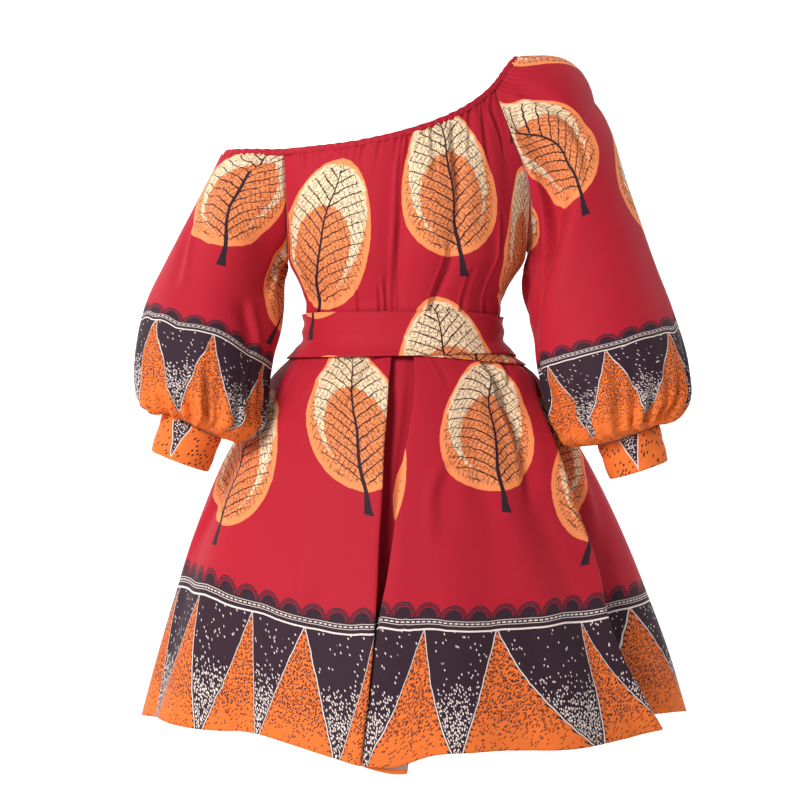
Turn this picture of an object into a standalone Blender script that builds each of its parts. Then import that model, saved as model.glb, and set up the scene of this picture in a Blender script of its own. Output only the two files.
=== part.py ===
"""Ankara wax print dress with one bare shoulder, balloon sleeves, a sash belt and a flared skirt.

The dress keeps the hollow form that it has when it is worn. X runs to the wearer's left, -Y is
the front and +Z is up. The tables are in millimetres, measured from the middle of the body at
the height of the covered shoulder's top. Every cloth piece is an open sheet of rings or columns
worked out from the tables, with a wall on its inner side. The pieces hang on an empty that
moves the whole dress, so that the world's origin is where the shoulder carries it.
"""

from collections import namedtuple

import bpy
import numpy as np

MM = 0.001

# Driving sizes, in millimetres.
WALL = 1.5                # cloth wall
CUFF_WALL = 2.0           # doubled cloth of the cuffs
SEAM_GAP = 0.3            # between two sewn pieces
SAME_POINT = 0.05         # points of two sheets closer than this are one point of a seam
SAME_SIDE = 0.2           # least cosine between two normals that a seam may share
ARMPIT_GAP = 0.8          # between sleeve and bodice at the lowest point of the armhole
ARMPIT_REACH = 20.0       # how far from that point the gap fades
WAIST = -378.0            # height of the waist seam
SHOULDER_REST = (168.0, 0.0, -6.0)   # under the covered shoulder, where the wearer carries it

# Casing round the neck: a flat tube with elastic in it.
CASING_HALF_HEIGHT = 3.4
CASING_HALF_THICKNESS = 1.7
CASING_SIDES = 6

# Gathers. One gather is two columns of a sheet, one raised and one sunk.
NECK_GATHER_DEPTH = 1.3
NECK_GATHER_RUN = 45.0    # how far the gathers reach down from the casing
CUFF_GATHER_DEPTH = 3.0
CUFF_GATHER_RUN = 0.30    # share of the sleeve's length
CUFF_GATHER_END = 0.06    # share over which they close again at the cuff's seam

# Puff at the top of the covered shoulder.
SHOULDER_PUFF = 25.0      # how far it stands out
PUFF_RUN = 0.19           # share of the sleeve's length
PUFF_HALF_ANGLE = 55.0    # degrees to either side of the outer line

# Columns and rows of the sheets.
ARMHOLE_COLUMNS = 10
FRONT_NECK_COLUMNS = 44
BACK_NECK_COLUMNS = 36
BARE_ARM_NECK_COLUMNS = 16
SHOULDER_NECK_COLUMNS = 16
BODICE_ROWS = 9
SKIRT_ROWS = 12
SLEEVE_ROWS = 14
FRONT_SKIRT_COLUMNS = 54
BACK_SKIRT_COLUMNS = 40
BELT_COLUMNS = 48
TAIL_COLUMNS = 20
CUFF_COLUMNS = 24

# Horizontal rings of the body form: half width to the sides, depth to the front and to the back,
# and how square the ring is, where 2 is an ellipse.
Ring = namedtuple("Ring", "height centre half_width front back squareness")
TORSO = (
    Ring(0.0, 0.0, 140.0, 50.0, 50.0, 2.3),
    Ring(-55.0, 0.0, 146.0, 82.0, 85.0, 2.4),
    Ring(-130.0, 0.0, 151.0, 110.0, 100.0, 2.6),
    Ring(-200.0, 0.0, 154.0, 122.0, 102.0, 2.6),
    Ring(-275.0, 0.0, 153.5, 118.0, 98.0, 2.5),
    Ring(-310.0, -1.5, 138.0, 108.0, 92.0, 2.4),
    Ring(-338.0, -2.5, 129.0, 101.0, 88.0, 2.3),
    Ring(-382.0, -2.5, 128.0, 98.0, 87.0, 2.2),
)
SKIRT = (
    Ring(-370.0, -2.5, 128.0, 98.0, 87.0, 2.2),
    Ring(-384.0, -2.5, 128.5, 98.5, 87.5, 2.2),
    Ring(-396.0, -2.5, 135.5, 102.0, 92.0, 2.15),
    Ring(-410.0, -3.0, 151.5, 111.0, 102.0, 2.1),
    Ring(-430.0, -1.0, 174.0, 126.0, 118.0, 2.05),
    Ring(-464.0, 0.0, 191.0, 145.0, 138.0, 2.0),
    Ring(-525.0, 0.0, 231.0, 172.0, 160.0, 2.0),
    Ring(-608.0, 3.0, 271.0, 203.0, 188.0, 2.0),
    Ring(-720.0, 8.0, 312.5, 238.0, 217.0, 2.0),
    Ring(-794.0, 10.5, 337.0, 257.0, 232.0, 2.0),
    Ring(-880.0, 11.5, 361.0, 273.0, 246.0, 2.0),
    Ring(-910.0, 12.0, 369.0, 278.0, 250.0, 2.0),
)

# Height of the hem at azimuths from one side round to the same side again.
FRONT_HEM = ((-90.0, -881.0), (-62.0, -869.0), (-46.0, -870.5), (-32.0, -869.5), (-24.0, -878.0),
             (-16.0, -889.5), (-9.0, -898.5), (-4.0, -899.0), (3.0, -886.0), (12.0, -883.0),
             (30.0, -885.5), (45.0, -882.0), (55.0, -876.0), (66.0, -866.5), (76.0, -868.0),
             (90.0, -878.5))
BACK_HEM = ((90.0, -878.5), (116.0, -872.0), (134.0, -880.0), (152.0, -876.0), (180.0, -886.0),
            (206.0, -876.0), (228.0, -881.0), (247.0, -871.0), (270.0, -881.0))

# The upper edge of the cloth round the neck, a closed loop that starts at the front raglan seam
# of the bare shoulder's sleeve and runs across the chest.
EdgePoint = namedtuple("EdgePoint", "x y z")
NECK_LOOP = (
    EdgePoint(-158.0, -58.0, -143.0),
    EdgePoint(-135.0, -77.0, -143.0),
    EdgePoint(-70.0, -105.0, -139.5),
    EdgePoint(-2.0, -112.0, -126.0),
    EdgePoint(59.0, -98.0, -103.0),
    EdgePoint(95.0, -76.0, -79.5),
    EdgePoint(116.5, -59.0, -59.0),
    EdgePoint(137.0, -34.0, -27.0),
    EdgePoint(153.5, 4.0, -5.5),
    EdgePoint(138.0, 42.0, -28.0),
    EdgePoint(113.0, 66.0, -62.0),
    EdgePoint(85.0, 83.0, -80.0),
    EdgePoint(45.0, 97.0, -97.0),
    EdgePoint(0.0, 103.0, -110.0),
    EdgePoint(-50.0, 101.0, -119.0),
    EdgePoint(-110.0, 81.0, -126.0),
    EdgePoint(-158.0, 50.0, -131.0),
    EdgePoint(-200.0, 44.0, -136.0),
    EdgePoint(-234.0, 22.0, -136.0),
    EdgePoint(-243.5, -4.0, -137.0),
    EdgePoint(-232.0, -30.0, -139.0),
    EdgePoint(-200.0, -50.0, -141.5),
)
BARE_FRONT, COVERED_FRONT, COVERED_BACK, BARE_BACK = 0, 6, 10, 16   # the raglan seams' upper ends

# Armholes, from the front end of the raglan seam under the arm to its back end.
ARMPIT = 4                # the armhole point that is lowest
BARE_ARMHOLE = (
    NECK_LOOP[BARE_FRONT],
    EdgePoint(-156.0, -57.0, -180.0),
    EdgePoint(-154.5, -46.0, -229.0),
    EdgePoint(-154.5, -24.0, -266.0),
    EdgePoint(-155.0, 0.0, -279.5),
    EdgePoint(-154.5, 22.0, -264.0),
    EdgePoint(-155.5, 40.0, -225.0),
    EdgePoint(-157.5, 48.0, -175.0),
    NECK_LOOP[BARE_BACK],
)
COVERED_ARMHOLE = (
    NECK_LOOP[COVERED_FRONT],
    EdgePoint(140.5, -69.0, -125.0),
    EdgePoint(158.0, -60.0, -170.0),
    EdgePoint(164.0, -34.0, -232.0),
    EdgePoint(157.0, 0.0, -266.5),
    EdgePoint(163.0, 34.0, -232.0),
    EdgePoint(156.0, 58.0, -170.0),
    EdgePoint(139.0, 69.0, -125.0),
    NECK_LOOP[COVERED_BACK],
)

# Sleeve rings, each through its point nearest the body, its outermost point and its half depth.
SleeveRing = namedtuple("SleeveRing", "inner_x inner_z outer_x outer_z y half_depth")
BARE_SLEEVE = (
    SleeveRing(-156.0, -285.0, -256.0, -160.0, 0.0, 67.0),
    SleeveRing(-159.5, -311.0, -285.5, -219.5, -10.0, 73.0),
    SleeveRing(-159.5, -342.5, -315.0, -281.5, -26.0, 78.0),
    SleeveRing(-162.5, -374.5, -338.0, -335.5, -44.0, 82.0),
    SleeveRing(-171.5, -409.0, -348.5, -392.0, -62.0, 83.0),
    SleeveRing(-181.0, -444.5, -346.0, -440.5, -79.0, 78.0),
    SleeveRing(-187.5, -476.5, -336.5, -463.5, -92.0, 68.0),
    SleeveRing(-201.5, -507.0, -324.5, -472.5, -97.0, 58.0),
    SleeveRing(-219.0, -515.0, -314.0, -474.0, -98.0, 49.0),
    SleeveRing(-234.5, -512.5, -309.0, -476.5, -98.0, 39.0),
)
COVERED_SLEEVE = (
    SleeveRing(162.5, -269.0, 256.0, -74.5, 2.0, 68.0),
    SleeveRing(156.5, -293.5, 296.0, -187.5, -9.0, 73.0),
    SleeveRing(157.0, -334.5, 326.0, -281.5, -24.0, 79.0),
    SleeveRing(163.5, -378.5, 352.5, -359.0, -42.0, 84.0),
    SleeveRing(170.0, -422.0, 365.5, -422.0, -60.0, 83.0),
    SleeveRing(184.5, -466.5, 361.5, -463.5, -77.0, 76.0),
    SleeveRing(199.0, -503.5, 345.5, -480.5, -90.0, 65.0),
    SleeveRing(221.5, -522.5, 334.5, -490.5, -93.0, 53.0),
    SleeveRing(246.0, -522.5, 325.5, -494.5, -94.0, 40.0),
)
CUFF_ENDS = {   # the ring at each cuff's open end
    "bare": SleeveRing(-252.0, -555.5, -325.0, -527.5, -101.0, 38.0),
    "covered": SleeveRing(262.0, -565.0, 336.5, -540.5, -98.0, 39.0),
}

# Azimuths in degrees, 0 at the centre front and 90 at the wearer's left side.
NECK_AZIMUTHS = {"bare": 66.0, "covered": 50.0}   # where the raglan seams' columns meet the waist
SLEEVE_NECK_ANGLES = {"bare": 112.0, "covered": 124.0}   # round the sleeve from its inner line

# Folds: the azimuth at the top, at a third, at two thirds and at the lower edge, the half angle on
# either side, and the height out of the surface at the top and at the lower edge.
Fold = namedtuple("Fold", "top upper lower edge half_before half_after rise_top rise_edge")
FRONT_SKIRT_FOLDS = (
    Fold(-2.0, -2.3, -3.8, -7.0, 2.6, 4.6, -9.0, -24.0),      # centre pleat's recess
    Fold(-10.0, -9.5, -10.5, -14.0, 8.0, 4.0, 2.0, 7.0),      # its rounded left edge
    Fold(8.5, 8.0, 8.0, 7.0, 5.0, 10.0, 2.0, 8.0),            # and right edge
    Fold(42.0, 36.5, 42.0, 47.0, 5.0, 6.0, -4.0, -6.0),       # soft trough over the hip
    Fold(66.0, 46.0, 41.0, 46.0, 9.0, 5.0, 1.0, 14.0),        # long ridge beside the side fold
    Fold(76.0, 59.0, 55.0, 60.5, 3.4, 7.5, -4.0, -30.0),      # side fold's recess
    Fold(-30.0, -32.0, -36.0, -38.0, 9.0, 9.0, 0.0, -7.0),
    Fold(-52.0, -54.0, -55.0, -56.0, 9.0, 9.0, 0.0, 8.0),
    Fold(-74.0, -72.0, -70.0, -70.0, 7.0, 7.0, -2.0, -9.0),
    Fold(24.0, 24.0, 26.0, 27.0, 8.0, 8.0, 0.0, -6.0),
)
BACK_SKIRT_FOLDS = (
    Fold(112.0, 113.0, 115.0, 116.0, 7.0, 7.0, -2.0, -16.0),
    Fold(130.0, 132.0, 134.0, 135.0, 8.0, 8.0, 0.0, 12.0),
    Fold(152.0, 153.0, 152.0, 150.0, 7.0, 8.0, -2.0, -18.0),
    Fold(178.0, 179.0, 180.0, 178.0, 9.0, 9.0, 1.0, 12.0),
    Fold(204.0, 203.0, 205.0, 208.0, 8.0, 7.0, -2.0, -18.0),
    Fold(228.0, 230.0, 229.0, 226.0, 9.0, 9.0, 0.0, 12.0),
    Fold(248.0, 247.0, 245.0, 246.0, 7.0, 7.0, -2.0, -15.0),
)
FRONT_BODICE_FOLDS = (
    Fold(-8.0, -6.0, -5.5, -6.0, 4.0, 5.0, -1.5, -4.5),
    Fold(6.0, 8.0, 8.0, 7.0, 6.0, 6.0, 3.0, 2.0),
    Fold(26.0, 25.0, 20.0, 13.0, 5.0, 5.0, -4.5, -4.0),
    Fold(36.0, 38.0, 44.0, 50.0, 6.0, 5.0, 1.0, -4.0),
    Fold(-44.0, -46.0, -50.0, -54.0, 5.0, 5.0, 0.0, -4.0),
    Fold(-28.0, -28.0, -29.0, -30.0, 8.0, 8.0, 1.0, 3.0),
)
BACK_BODICE_FOLDS = (
    Fold(130.0, 134.0, 136.0, 138.0, 6.0, 6.0, -2.0, -4.0),
    Fold(160.0, 162.0, 160.0, 158.0, 8.0, 8.0, 2.0, 3.0),
    Fold(196.0, 192.0, 190.0, 192.0, 6.0, 6.0, -3.0, -4.0),
    Fold(228.0, 226.0, 224.0, 222.0, 7.0, 7.0, -1.0, -4.0),
)
# On a sleeve the azimuth runs from the inner line over the front.
COVERED_SLEEVE_FOLDS = (
    Fold(150.0, 82.0, 30.0, 10.0, 14.0, 20.0, 5.0, 0.0),      # edge of the long front fold
    Fold(105.0, 50.0, 8.0, -10.0, 20.0, 14.0, -14.0, 0.0),    # the trough that it hangs over
    Fold(215.0, 250.0, 285.0, 300.0, 18.0, 18.0, -8.0, -4.0),
    Fold(175.0, 165.0, 160.0, 150.0, 16.0, 16.0, 2.0, 4.0),
)
BARE_SLEEVE_FOLDS = (
    Fold(60.0, 48.0, 40.0, 40.0, 18.0, 20.0, -7.0, -3.0),
    Fold(150.0, 128.0, 110.0, 110.0, 16.0, 18.0, -5.0, 0.0),
    Fold(95.0, 88.0, 80.0, 75.0, 18.0, 18.0, 3.0, 4.0),
    Fold(250.0, 262.0, 280.0, 290.0, 18.0, 18.0, -7.0, -3.0),
)

# Sash: one turn outside, and the end of the turn below it, which slips out at the wearer's left.
BELT_TOP, BELT_BOTTOM = -350.0, -408.0
BELT_OFFSETS = (5.0, 5.2, 6.8, 7.8)   # outer face at each row, out from the waist
BELT_WALL = 1.6
BELT_RISE = 5.0           # how much the outer turn's lower edge climbs towards the wearer's left
TAIL_OFFSETS = (2.4, 2.4, 3.0, 3.5, 3.9)
TAIL_WALL = 1.2
TAIL_START, TAIL_END = -12.0, 140.0   # azimuths
TAIL_TOP = -372.0
TAIL_BOTTOM = -404.0
TAIL_DROP = 13.0          # at the wearer's left side

Paint = namedtuple("Paint", "red green blue roughness")
PRINT_RED = Paint(0.60, 0.035, 0.065, 0.55)
BORDER_ORANGE = Paint(0.85, 0.25, 0.05, 0.6)


def is_tube(name):
    """Whether a sheet closes on itself round an arm."""
    return name.startswith("sleeve")


def column(table, name):
    """One named column of a table as an array."""
    return np.array([getattr(row, name) for row in table])


def smooth(knots, values, places, steady=False):
    """Smooth curve through the values at the knots, read at the places.

    Each stretch is a cubic whose end slopes are the mean of the slopes on either side. A steady
    curve keeps its slopes small where the two sides differ, so that it never swings past a knot."""
    knots = np.asarray(knots, float)
    values = np.asarray(values, float)
    places = np.asarray(places, float)
    shape = (-1,) + (1,) * (values.ndim - 1)
    steps = np.diff(knots).reshape(shape)
    chords = np.diff(values, axis=0) / steps
    inner = (chords[:-1] * steps[1:] + chords[1:] * steps[:-1]) / (steps[:-1] + steps[1:])
    if steady:
        least = 2 * np.minimum(np.abs(chords[:-1]), np.abs(chords[1:]))
        inner = np.clip(inner, -least, least) * (chords[:-1] * chords[1:] > 0)
    slopes = np.concatenate([chords[:1], inner, chords[-1:]])
    left = np.clip(np.searchsorted(knots, places, side="right") - 1, 0, len(knots) - 2)
    shape = places.shape + (1,) * (values.ndim - 1)
    width = (knots[left + 1] - knots[left]).reshape(shape)
    part = (places - knots[left]).reshape(shape) / width
    return ((1 + 2 * part) * (1 - part) ** 2 * values[left]
            + part * (1 - part) ** 2 * width * slopes[left]
            + part ** 2 * (3 - 2 * part) * values[left + 1]
            + part ** 2 * (part - 1) * width * slopes[left + 1])


def stretch(points, start, stop, count):
    """Points spaced evenly along the smooth curve through a table, from one row to another."""
    points = np.array(points, float)
    lengths = np.linalg.norm(np.diff(points, axis=0), axis=1)
    knots = np.concatenate([[0.0], np.cumsum(lengths)])
    return smooth(knots, points, np.linspace(knots[start], knots[stop], count + 1))


def neck_stretch(start, stop, count):
    """A stretch of the closed neck loop; stop may be past the last row, back at the first."""
    turn = len(NECK_LOOP)
    return stretch(NECK_LOOP * 3, start + turn, stop + turn, count)


def ring_points(table, height, azimuth):
    """Points on the body form's rings, and the directions straight out of them."""
    heights = column(table, "height")[::-1]
    names = ("centre", "half_width", "front", "back", "squareness")
    centre, half_width, front, back, squareness = (
        smooth(heights, column(table, name)[::-1], height, steady=True) for name in names)
    sine, cosine = np.sin(np.radians(azimuth)), np.cos(np.radians(azimuth))
    depth = np.where(cosine > 0, front, back)
    across = np.sign(sine) * np.abs(sine) ** (2 / squareness)
    along = -np.sign(cosine) * np.abs(cosine) ** (2 / squareness)
    points = np.stack([centre + half_width * across, depth * along, height], -1)
    steep = squareness - 1
    out = np.stack([np.sign(across) * np.abs(across) ** steep / half_width,
                    np.sign(along) * np.abs(along) ** steep / depth, 0 * height], -1)
    return points, out / np.linalg.norm(out, axis=-1, keepdims=True)


def fold_rise(folds, azimuth, down):
    """How far the folds lift the cloth, at an azimuth and a share of the way down."""
    rise = np.zeros(np.broadcast(azimuth, down).shape)
    for fold in folds:
        path = smooth((0.0, 1 / 3, 2 / 3, 1.0), (fold.top, fold.upper, fold.lower, fold.edge), down)
        away = azimuth - path
        half = np.where(away < 0, fold.half_before, fold.half_after)
        size = fold.rise_top + (fold.rise_edge - fold.rise_top) * down
        rise += size * np.exp(-(away / half) ** 2)
    return rise


def crowded(count, first, last, folds, down):
    """Azimuths from first to last, closer together along the folds, for each row."""
    grid = np.linspace(first, last, 400)
    rows = []
    for share in down:
        density = np.full(grid.shape, 1.0)
        for fold in folds:
            path = smooth((0.0, 1 / 3, 2 / 3, 1.0),
                          (fold.top, fold.upper, fold.lower, fold.edge), np.array([share]))
            half = 0.5 * (fold.half_before + fold.half_after)
            density += abs(fold.rise_edge) / half * np.exp(-((grid - path) / (1.6 * half)) ** 2)
        total = np.concatenate([[0.0], np.cumsum(0.5 * (density[1:] + density[:-1]))])
        rows.append(np.interp(np.linspace(0, total[-1], count + 1), total, grid))
    return np.array(rows)


def surface_out(sheet, closed):
    """Unit normals of a sheet of points, from the slopes along its rows and columns."""
    across = np.gradient(sheet, axis=1)
    if closed:
        across = (np.roll(sheet, -1, 1) - np.roll(sheet, 1, 1)) / 2
    down = np.gradient(sheet, axis=0)
    out = np.cross(down, across)
    return out / np.maximum(np.linalg.norm(out, axis=-1, keepdims=True), 1e-9)


def drawn_back(sheet, closed):
    """The sheet with its edges drawn back by half a seam gap."""
    sheet = sheet.copy()
    edges = [(sheet[0], sheet[1]), (sheet[-1], sheet[-2])]
    if not closed:
        edges += [(sheet[:, 0], sheet[:, 1]), (sheet[:, -1], sheet[:, -2])]
    for edge, beside in edges:
        way = beside - edge
        edge += way / np.linalg.norm(way, axis=-1, keepdims=True) * SEAM_GAP / 2
    return sheet


def sewn_outs(sheets):
    """Normals of the sheets, by name, made equal on both sides of a seam.

    Points of two sheets that lie together share the mean of their normals, so their walls lean
    the same way and never cross. Sheets that turn back on each other keep their own."""
    outs = {name: surface_out(sheet, is_tube(name)) for name, sheet in sheets.items()}
    border = []
    for name, sheet in sheets.items():
        rows, columns = sheet.shape[:2]
        for row in range(rows):
            for place in range(columns):
                side = not is_tube(name) and place in (0, columns - 1)
                if row in (0, rows - 1) or side:
                    border.append((name, row, place))
    points = np.array([sheets[name][row, place] for name, row, place in border])
    normals = np.array([outs[name][row, place] for name, row, place in border])
    apart = np.linalg.norm(points[:, None] - points[None], axis=-1)
    together = (apart < SAME_POINT) & (normals @ normals.T > SAME_SIDE)
    mean = together.astype(float) @ normals
    mean /= np.linalg.norm(mean, axis=1, keepdims=True)
    for (name, row, place), normal in zip(border, mean):
        outs[name][row, place] = normal
    return outs


def neck_gathers(sheet, first, count, closed):
    """The sheet with its columns below the neck raised and sunk in turn."""
    depth = np.zeros(sheet.shape[1])
    depth[first:first + count + 1] = (-1.0) ** np.arange(count + 1)
    depth[[first, first + count]] = 0.0
    reach = np.linalg.norm(sheet - sheet[:1], axis=-1) / NECK_GATHER_RUN
    fade = np.clip(1 - reach, 0, 1)
    return sheet + surface_out(sheet, closed) * (NECK_GATHER_DEPTH * fade * depth)[..., None]


def bodice(side):
    """Front or back of the bodice, from the armholes and the neck down to the waist seam."""
    bare_half = stretch(BARE_ARMHOLE, 0, ARMPIT, ARMHOLE_COLUMNS)
    covered_half = stretch(COVERED_ARMHOLE, 0, ARMPIT, ARMHOLE_COLUMNS)
    bare, covered = NECK_AZIMUTHS["bare"], NECK_AZIMUTHS["covered"]
    if side == "front":
        neck = neck_stretch(BARE_FRONT, COVERED_FRONT, FRONT_NECK_COLUMNS)
        edge = np.concatenate([bare_half[::-1], neck[1:-1], covered_half])
        marks = (-90.0, -bare, covered, 90.0)
        folds = FRONT_BODICE_FOLDS
    else:
        bare_half = stretch(BARE_ARMHOLE, ARMPIT, len(BARE_ARMHOLE) - 1, ARMHOLE_COLUMNS)
        covered_half = stretch(COVERED_ARMHOLE, ARMPIT, len(COVERED_ARMHOLE) - 1, ARMHOLE_COLUMNS)
        neck = neck_stretch(COVERED_BACK, BARE_BACK, BACK_NECK_COLUMNS)
        edge = np.concatenate([covered_half, neck[1:-1], bare_half[::-1]])
        marks = (90.0, 180.0 - covered, 180.0 + bare, 270.0)
        folds = BACK_BODICE_FOLDS
    neck_columns = len(edge) - 1 - 2 * ARMHOLE_COLUMNS
    stops = (0, ARMHOLE_COLUMNS, ARMHOLE_COLUMNS + neck_columns, len(edge) - 1)
    azimuth = np.interp(np.arange(len(edge)), stops, marks)[None, :]
    down = np.linspace(0, 1, BODICE_ROWS + 1)[:, None]
    height = edge[:, 2] * (1 - down) + WAIST * down
    form, out = ring_points(TORSO, height, azimuth + 0 * height)
    at_edge, _ = ring_points(TORSO, edge[:, 2], azimuth[0])
    pull = (1 - down[..., None]) ** 1.7
    sheet = form + pull * (edge - at_edge)
    middle = np.sin(np.pi * np.clip(down * 1.05, 0, 1)) ** 0.5
    drop = np.clip((edge[:, 2] - WAIST) / 200.0, 0, 1)
    sheet = sheet + out * (fold_rise(folds, azimuth, down) * middle * drop)[..., None]
    return neck_gathers(sheet, ARMHOLE_COLUMNS, neck_columns, False)


def skirt(side):
    """Front or back of the skirt, from the waist seam to the hem."""
    down = np.linspace(0, 1, SKIRT_ROWS + 1) ** 1.8
    if side == "front":
        count, first, last, folds = FRONT_SKIRT_COLUMNS, -90.0, 90.0, FRONT_SKIRT_FOLDS
        hem_line = FRONT_HEM
    else:
        count, first, last, folds = BACK_SKIRT_COLUMNS, 90.0, 270.0, BACK_SKIRT_FOLDS
        hem_line = BACK_HEM
    azimuth = crowded(count, first, last, folds, down)
    down = down[:, None] + 0 * azimuth
    knots, heights = np.array(hem_line).T
    hem = smooth(knots, heights, azimuth)
    height = WAIST + (hem - WAIST) * down
    form, out = ring_points(SKIRT, height, azimuth)
    under_belt = np.clip((BELT_BOTTOM - 4.0 - height) / 60.0, 0, 1)
    rise = fold_rise(folds, azimuth, down) * under_belt
    edge_fade = np.sin(np.pi * (azimuth - first) / (last - first)) ** 0.25
    return form + out * (rise * edge_fade)[..., None]


def sleeve_ring(ring, angle):
    """Points round one sleeve ring; the angle runs from the inner line over the front."""
    inner = np.array([ring.inner_x, ring.y, ring.inner_z])
    outer = np.array([ring.outer_x, ring.y, ring.outer_z])
    centre, half = (inner + outer) / 2, (inner - outer) / 2
    depth = np.array([0.0, -ring.half_depth, 0.0])
    angle = np.radians(angle)[:, None]
    return centre + half * np.cos(angle) + depth * np.sin(angle)


def sleeve_edge(which):
    """The closed upper edge of a sleeve, and the angle round the sleeve that each point takes."""
    armhole, neck_columns, neck = {
        "bare": (BARE_ARMHOLE, BARE_ARM_NECK_COLUMNS,
                 neck_stretch(BARE_BACK, len(NECK_LOOP), BARE_ARM_NECK_COLUMNS)[::-1]),
        "covered": (COVERED_ARMHOLE, SHOULDER_NECK_COLUMNS,
                    neck_stretch(COVERED_FRONT, COVERED_BACK, SHOULDER_NECK_COLUMNS)),
    }[which]
    front = stretch(armhole, 0, ARMPIT, ARMHOLE_COLUMNS)[::-1]
    back = stretch(armhole, ARMPIT, len(armhole) - 1, ARMHOLE_COLUMNS)[::-1]
    edge = np.concatenate([front, neck[1:-1], back])[:-1]
    count = len(edge)
    stops = (0, ARMHOLE_COLUMNS, ARMHOLE_COLUMNS + neck_columns, count)
    open_angle = SLEEVE_NECK_ANGLES[which]
    angle = np.interp(np.arange(count), stops, (0.0, open_angle, 360.0 - open_angle, 360.0))
    return edge, angle


def clear_of_armpit(sheet, which):
    """The sleeve with its upper edge moved off the bodice at the lowest point of the armhole."""
    armpit = np.array({"bare": BARE_ARMHOLE, "covered": COVERED_ARMHOLE}[which][ARMPIT])
    near = np.exp(-np.linalg.norm(sheet - armpit, axis=-1) / ARMPIT_REACH)
    sheet = sheet.copy()
    sheet[..., 0] += np.sign(armpit[0]) * ARMPIT_GAP * near
    return sheet


def shoulder_puff(angle, down):
    """How far the cloth stands up over the covered shoulder before it hangs down the arm."""
    along = np.sin(np.pi * np.clip(down / PUFF_RUN, 0, 1))
    return SHOULDER_PUFF * along * np.exp(-((angle - 180.0) / PUFF_HALF_ANGLE) ** 2)


def sleeve(which):
    """A balloon sleeve from the armhole and neck down to the cuff's upper ring."""
    rings, folds = {
        "bare": (BARE_SLEEVE, BARE_SLEEVE_FOLDS),
        "covered": (COVERED_SLEEVE, COVERED_SLEEVE_FOLDS),
    }[which]
    edge, angle = sleeve_edge(which)
    loops = np.array([edge] + [sleeve_ring(ring, angle) for ring in rings])
    centres = loops.mean(axis=1)
    knots = np.concatenate([[0.0], np.cumsum(np.linalg.norm(np.diff(centres, axis=0), axis=1))])
    knots /= knots[-1]
    down = np.linspace(0, 1, SLEEVE_ROWS + 1)
    sheet = smooth(knots, loops, down)
    out = surface_out(sheet, True)
    if which == "bare":
        out = -out
    fade = np.sin(np.pi * down)[:, None] ** 0.7
    turned = (angle[None, :] + 90.0) % 360.0 - 90.0
    rise = fold_rise(folds, turned, down[:, None]) * fade
    if which == "covered":
        rise = rise + shoulder_puff(angle, down[:, None])
    low = np.clip((down - 1 + CUFF_GATHER_RUN) / CUFF_GATHER_RUN, 0, 1)[:, None]
    sewn = np.clip((1 - down) / CUFF_GATHER_END, 0, 1)[:, None]
    gather = (-1.0) ** np.arange(len(angle)) * CUFF_GATHER_DEPTH * low * sewn
    sheet = sheet + out * (rise + gather)[..., None]
    if which == "bare":
        sheet = sheet[:, ::-1]
    neck = SHOULDER_NECK_COLUMNS if which == "covered" else BARE_ARM_NECK_COLUMNS
    first = ARMHOLE_COLUMNS if which == "covered" else ARMHOLE_COLUMNS - 1
    return neck_gathers(sheet, first, neck, True)


def cuff(which):
    """A cuff: a short tube that goes on from the sleeve's last ring."""
    rings = {"bare": BARE_SLEEVE, "covered": COVERED_SLEEVE}[which]
    angle = np.linspace(0, 360, CUFF_COLUMNS, endpoint=False)
    top = sleeve_ring(rings[-1], angle)
    end = sleeve_ring(CUFF_ENDS[which], angle)
    down = np.linspace(0, 1, 3)[:, None, None]
    sheet = top * (1 - down) + end * down
    if which == "bare":
        sheet = sheet[:, ::-1]
    return drawn_back(sheet, True)


def sash_turn(azimuth, top, bottom, offsets):
    """A band round the waist between two edges, each row held out from the dress by its offset."""
    rows = []
    for share, offset in zip(np.linspace(0, 1, len(offsets)), offsets):
        height = top * (1 - share) + bottom * share + 0 * azimuth
        bodice_points, bodice_out = ring_points(TORSO, np.maximum(height, WAIST), azimuth)
        skirt_points, skirt_out = ring_points(SKIRT, np.minimum(height, WAIST), azimuth)
        above = (height > WAIST)[:, None]
        points = np.where(above, bodice_points, skirt_points)
        rows.append(points + np.where(above, bodice_out, skirt_out) * offset)
    return np.array(rows)


def belt():
    """The outer turn of the sash, a closed band."""
    azimuth = np.linspace(-180, 180, BELT_COLUMNS, endpoint=False)
    climb = BELT_RISE * np.exp(-((azimuth - 55.0) / 45.0) ** 2)
    return sash_turn(azimuth, BELT_TOP, BELT_BOTTOM + climb, BELT_OFFSETS)


def belt_tail():
    """The end of the sash's inner turn, which slips out below the outer one."""
    azimuth = np.linspace(TAIL_START, TAIL_END, TAIL_COLUMNS + 1)
    drop = TAIL_DROP * np.sin(np.pi * np.clip((azimuth - TAIL_START) / 190.0, 0, 1)) ** 1.2
    return sash_turn(azimuth, TAIL_TOP, TAIL_BOTTOM - drop, TAIL_OFFSETS)


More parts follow.
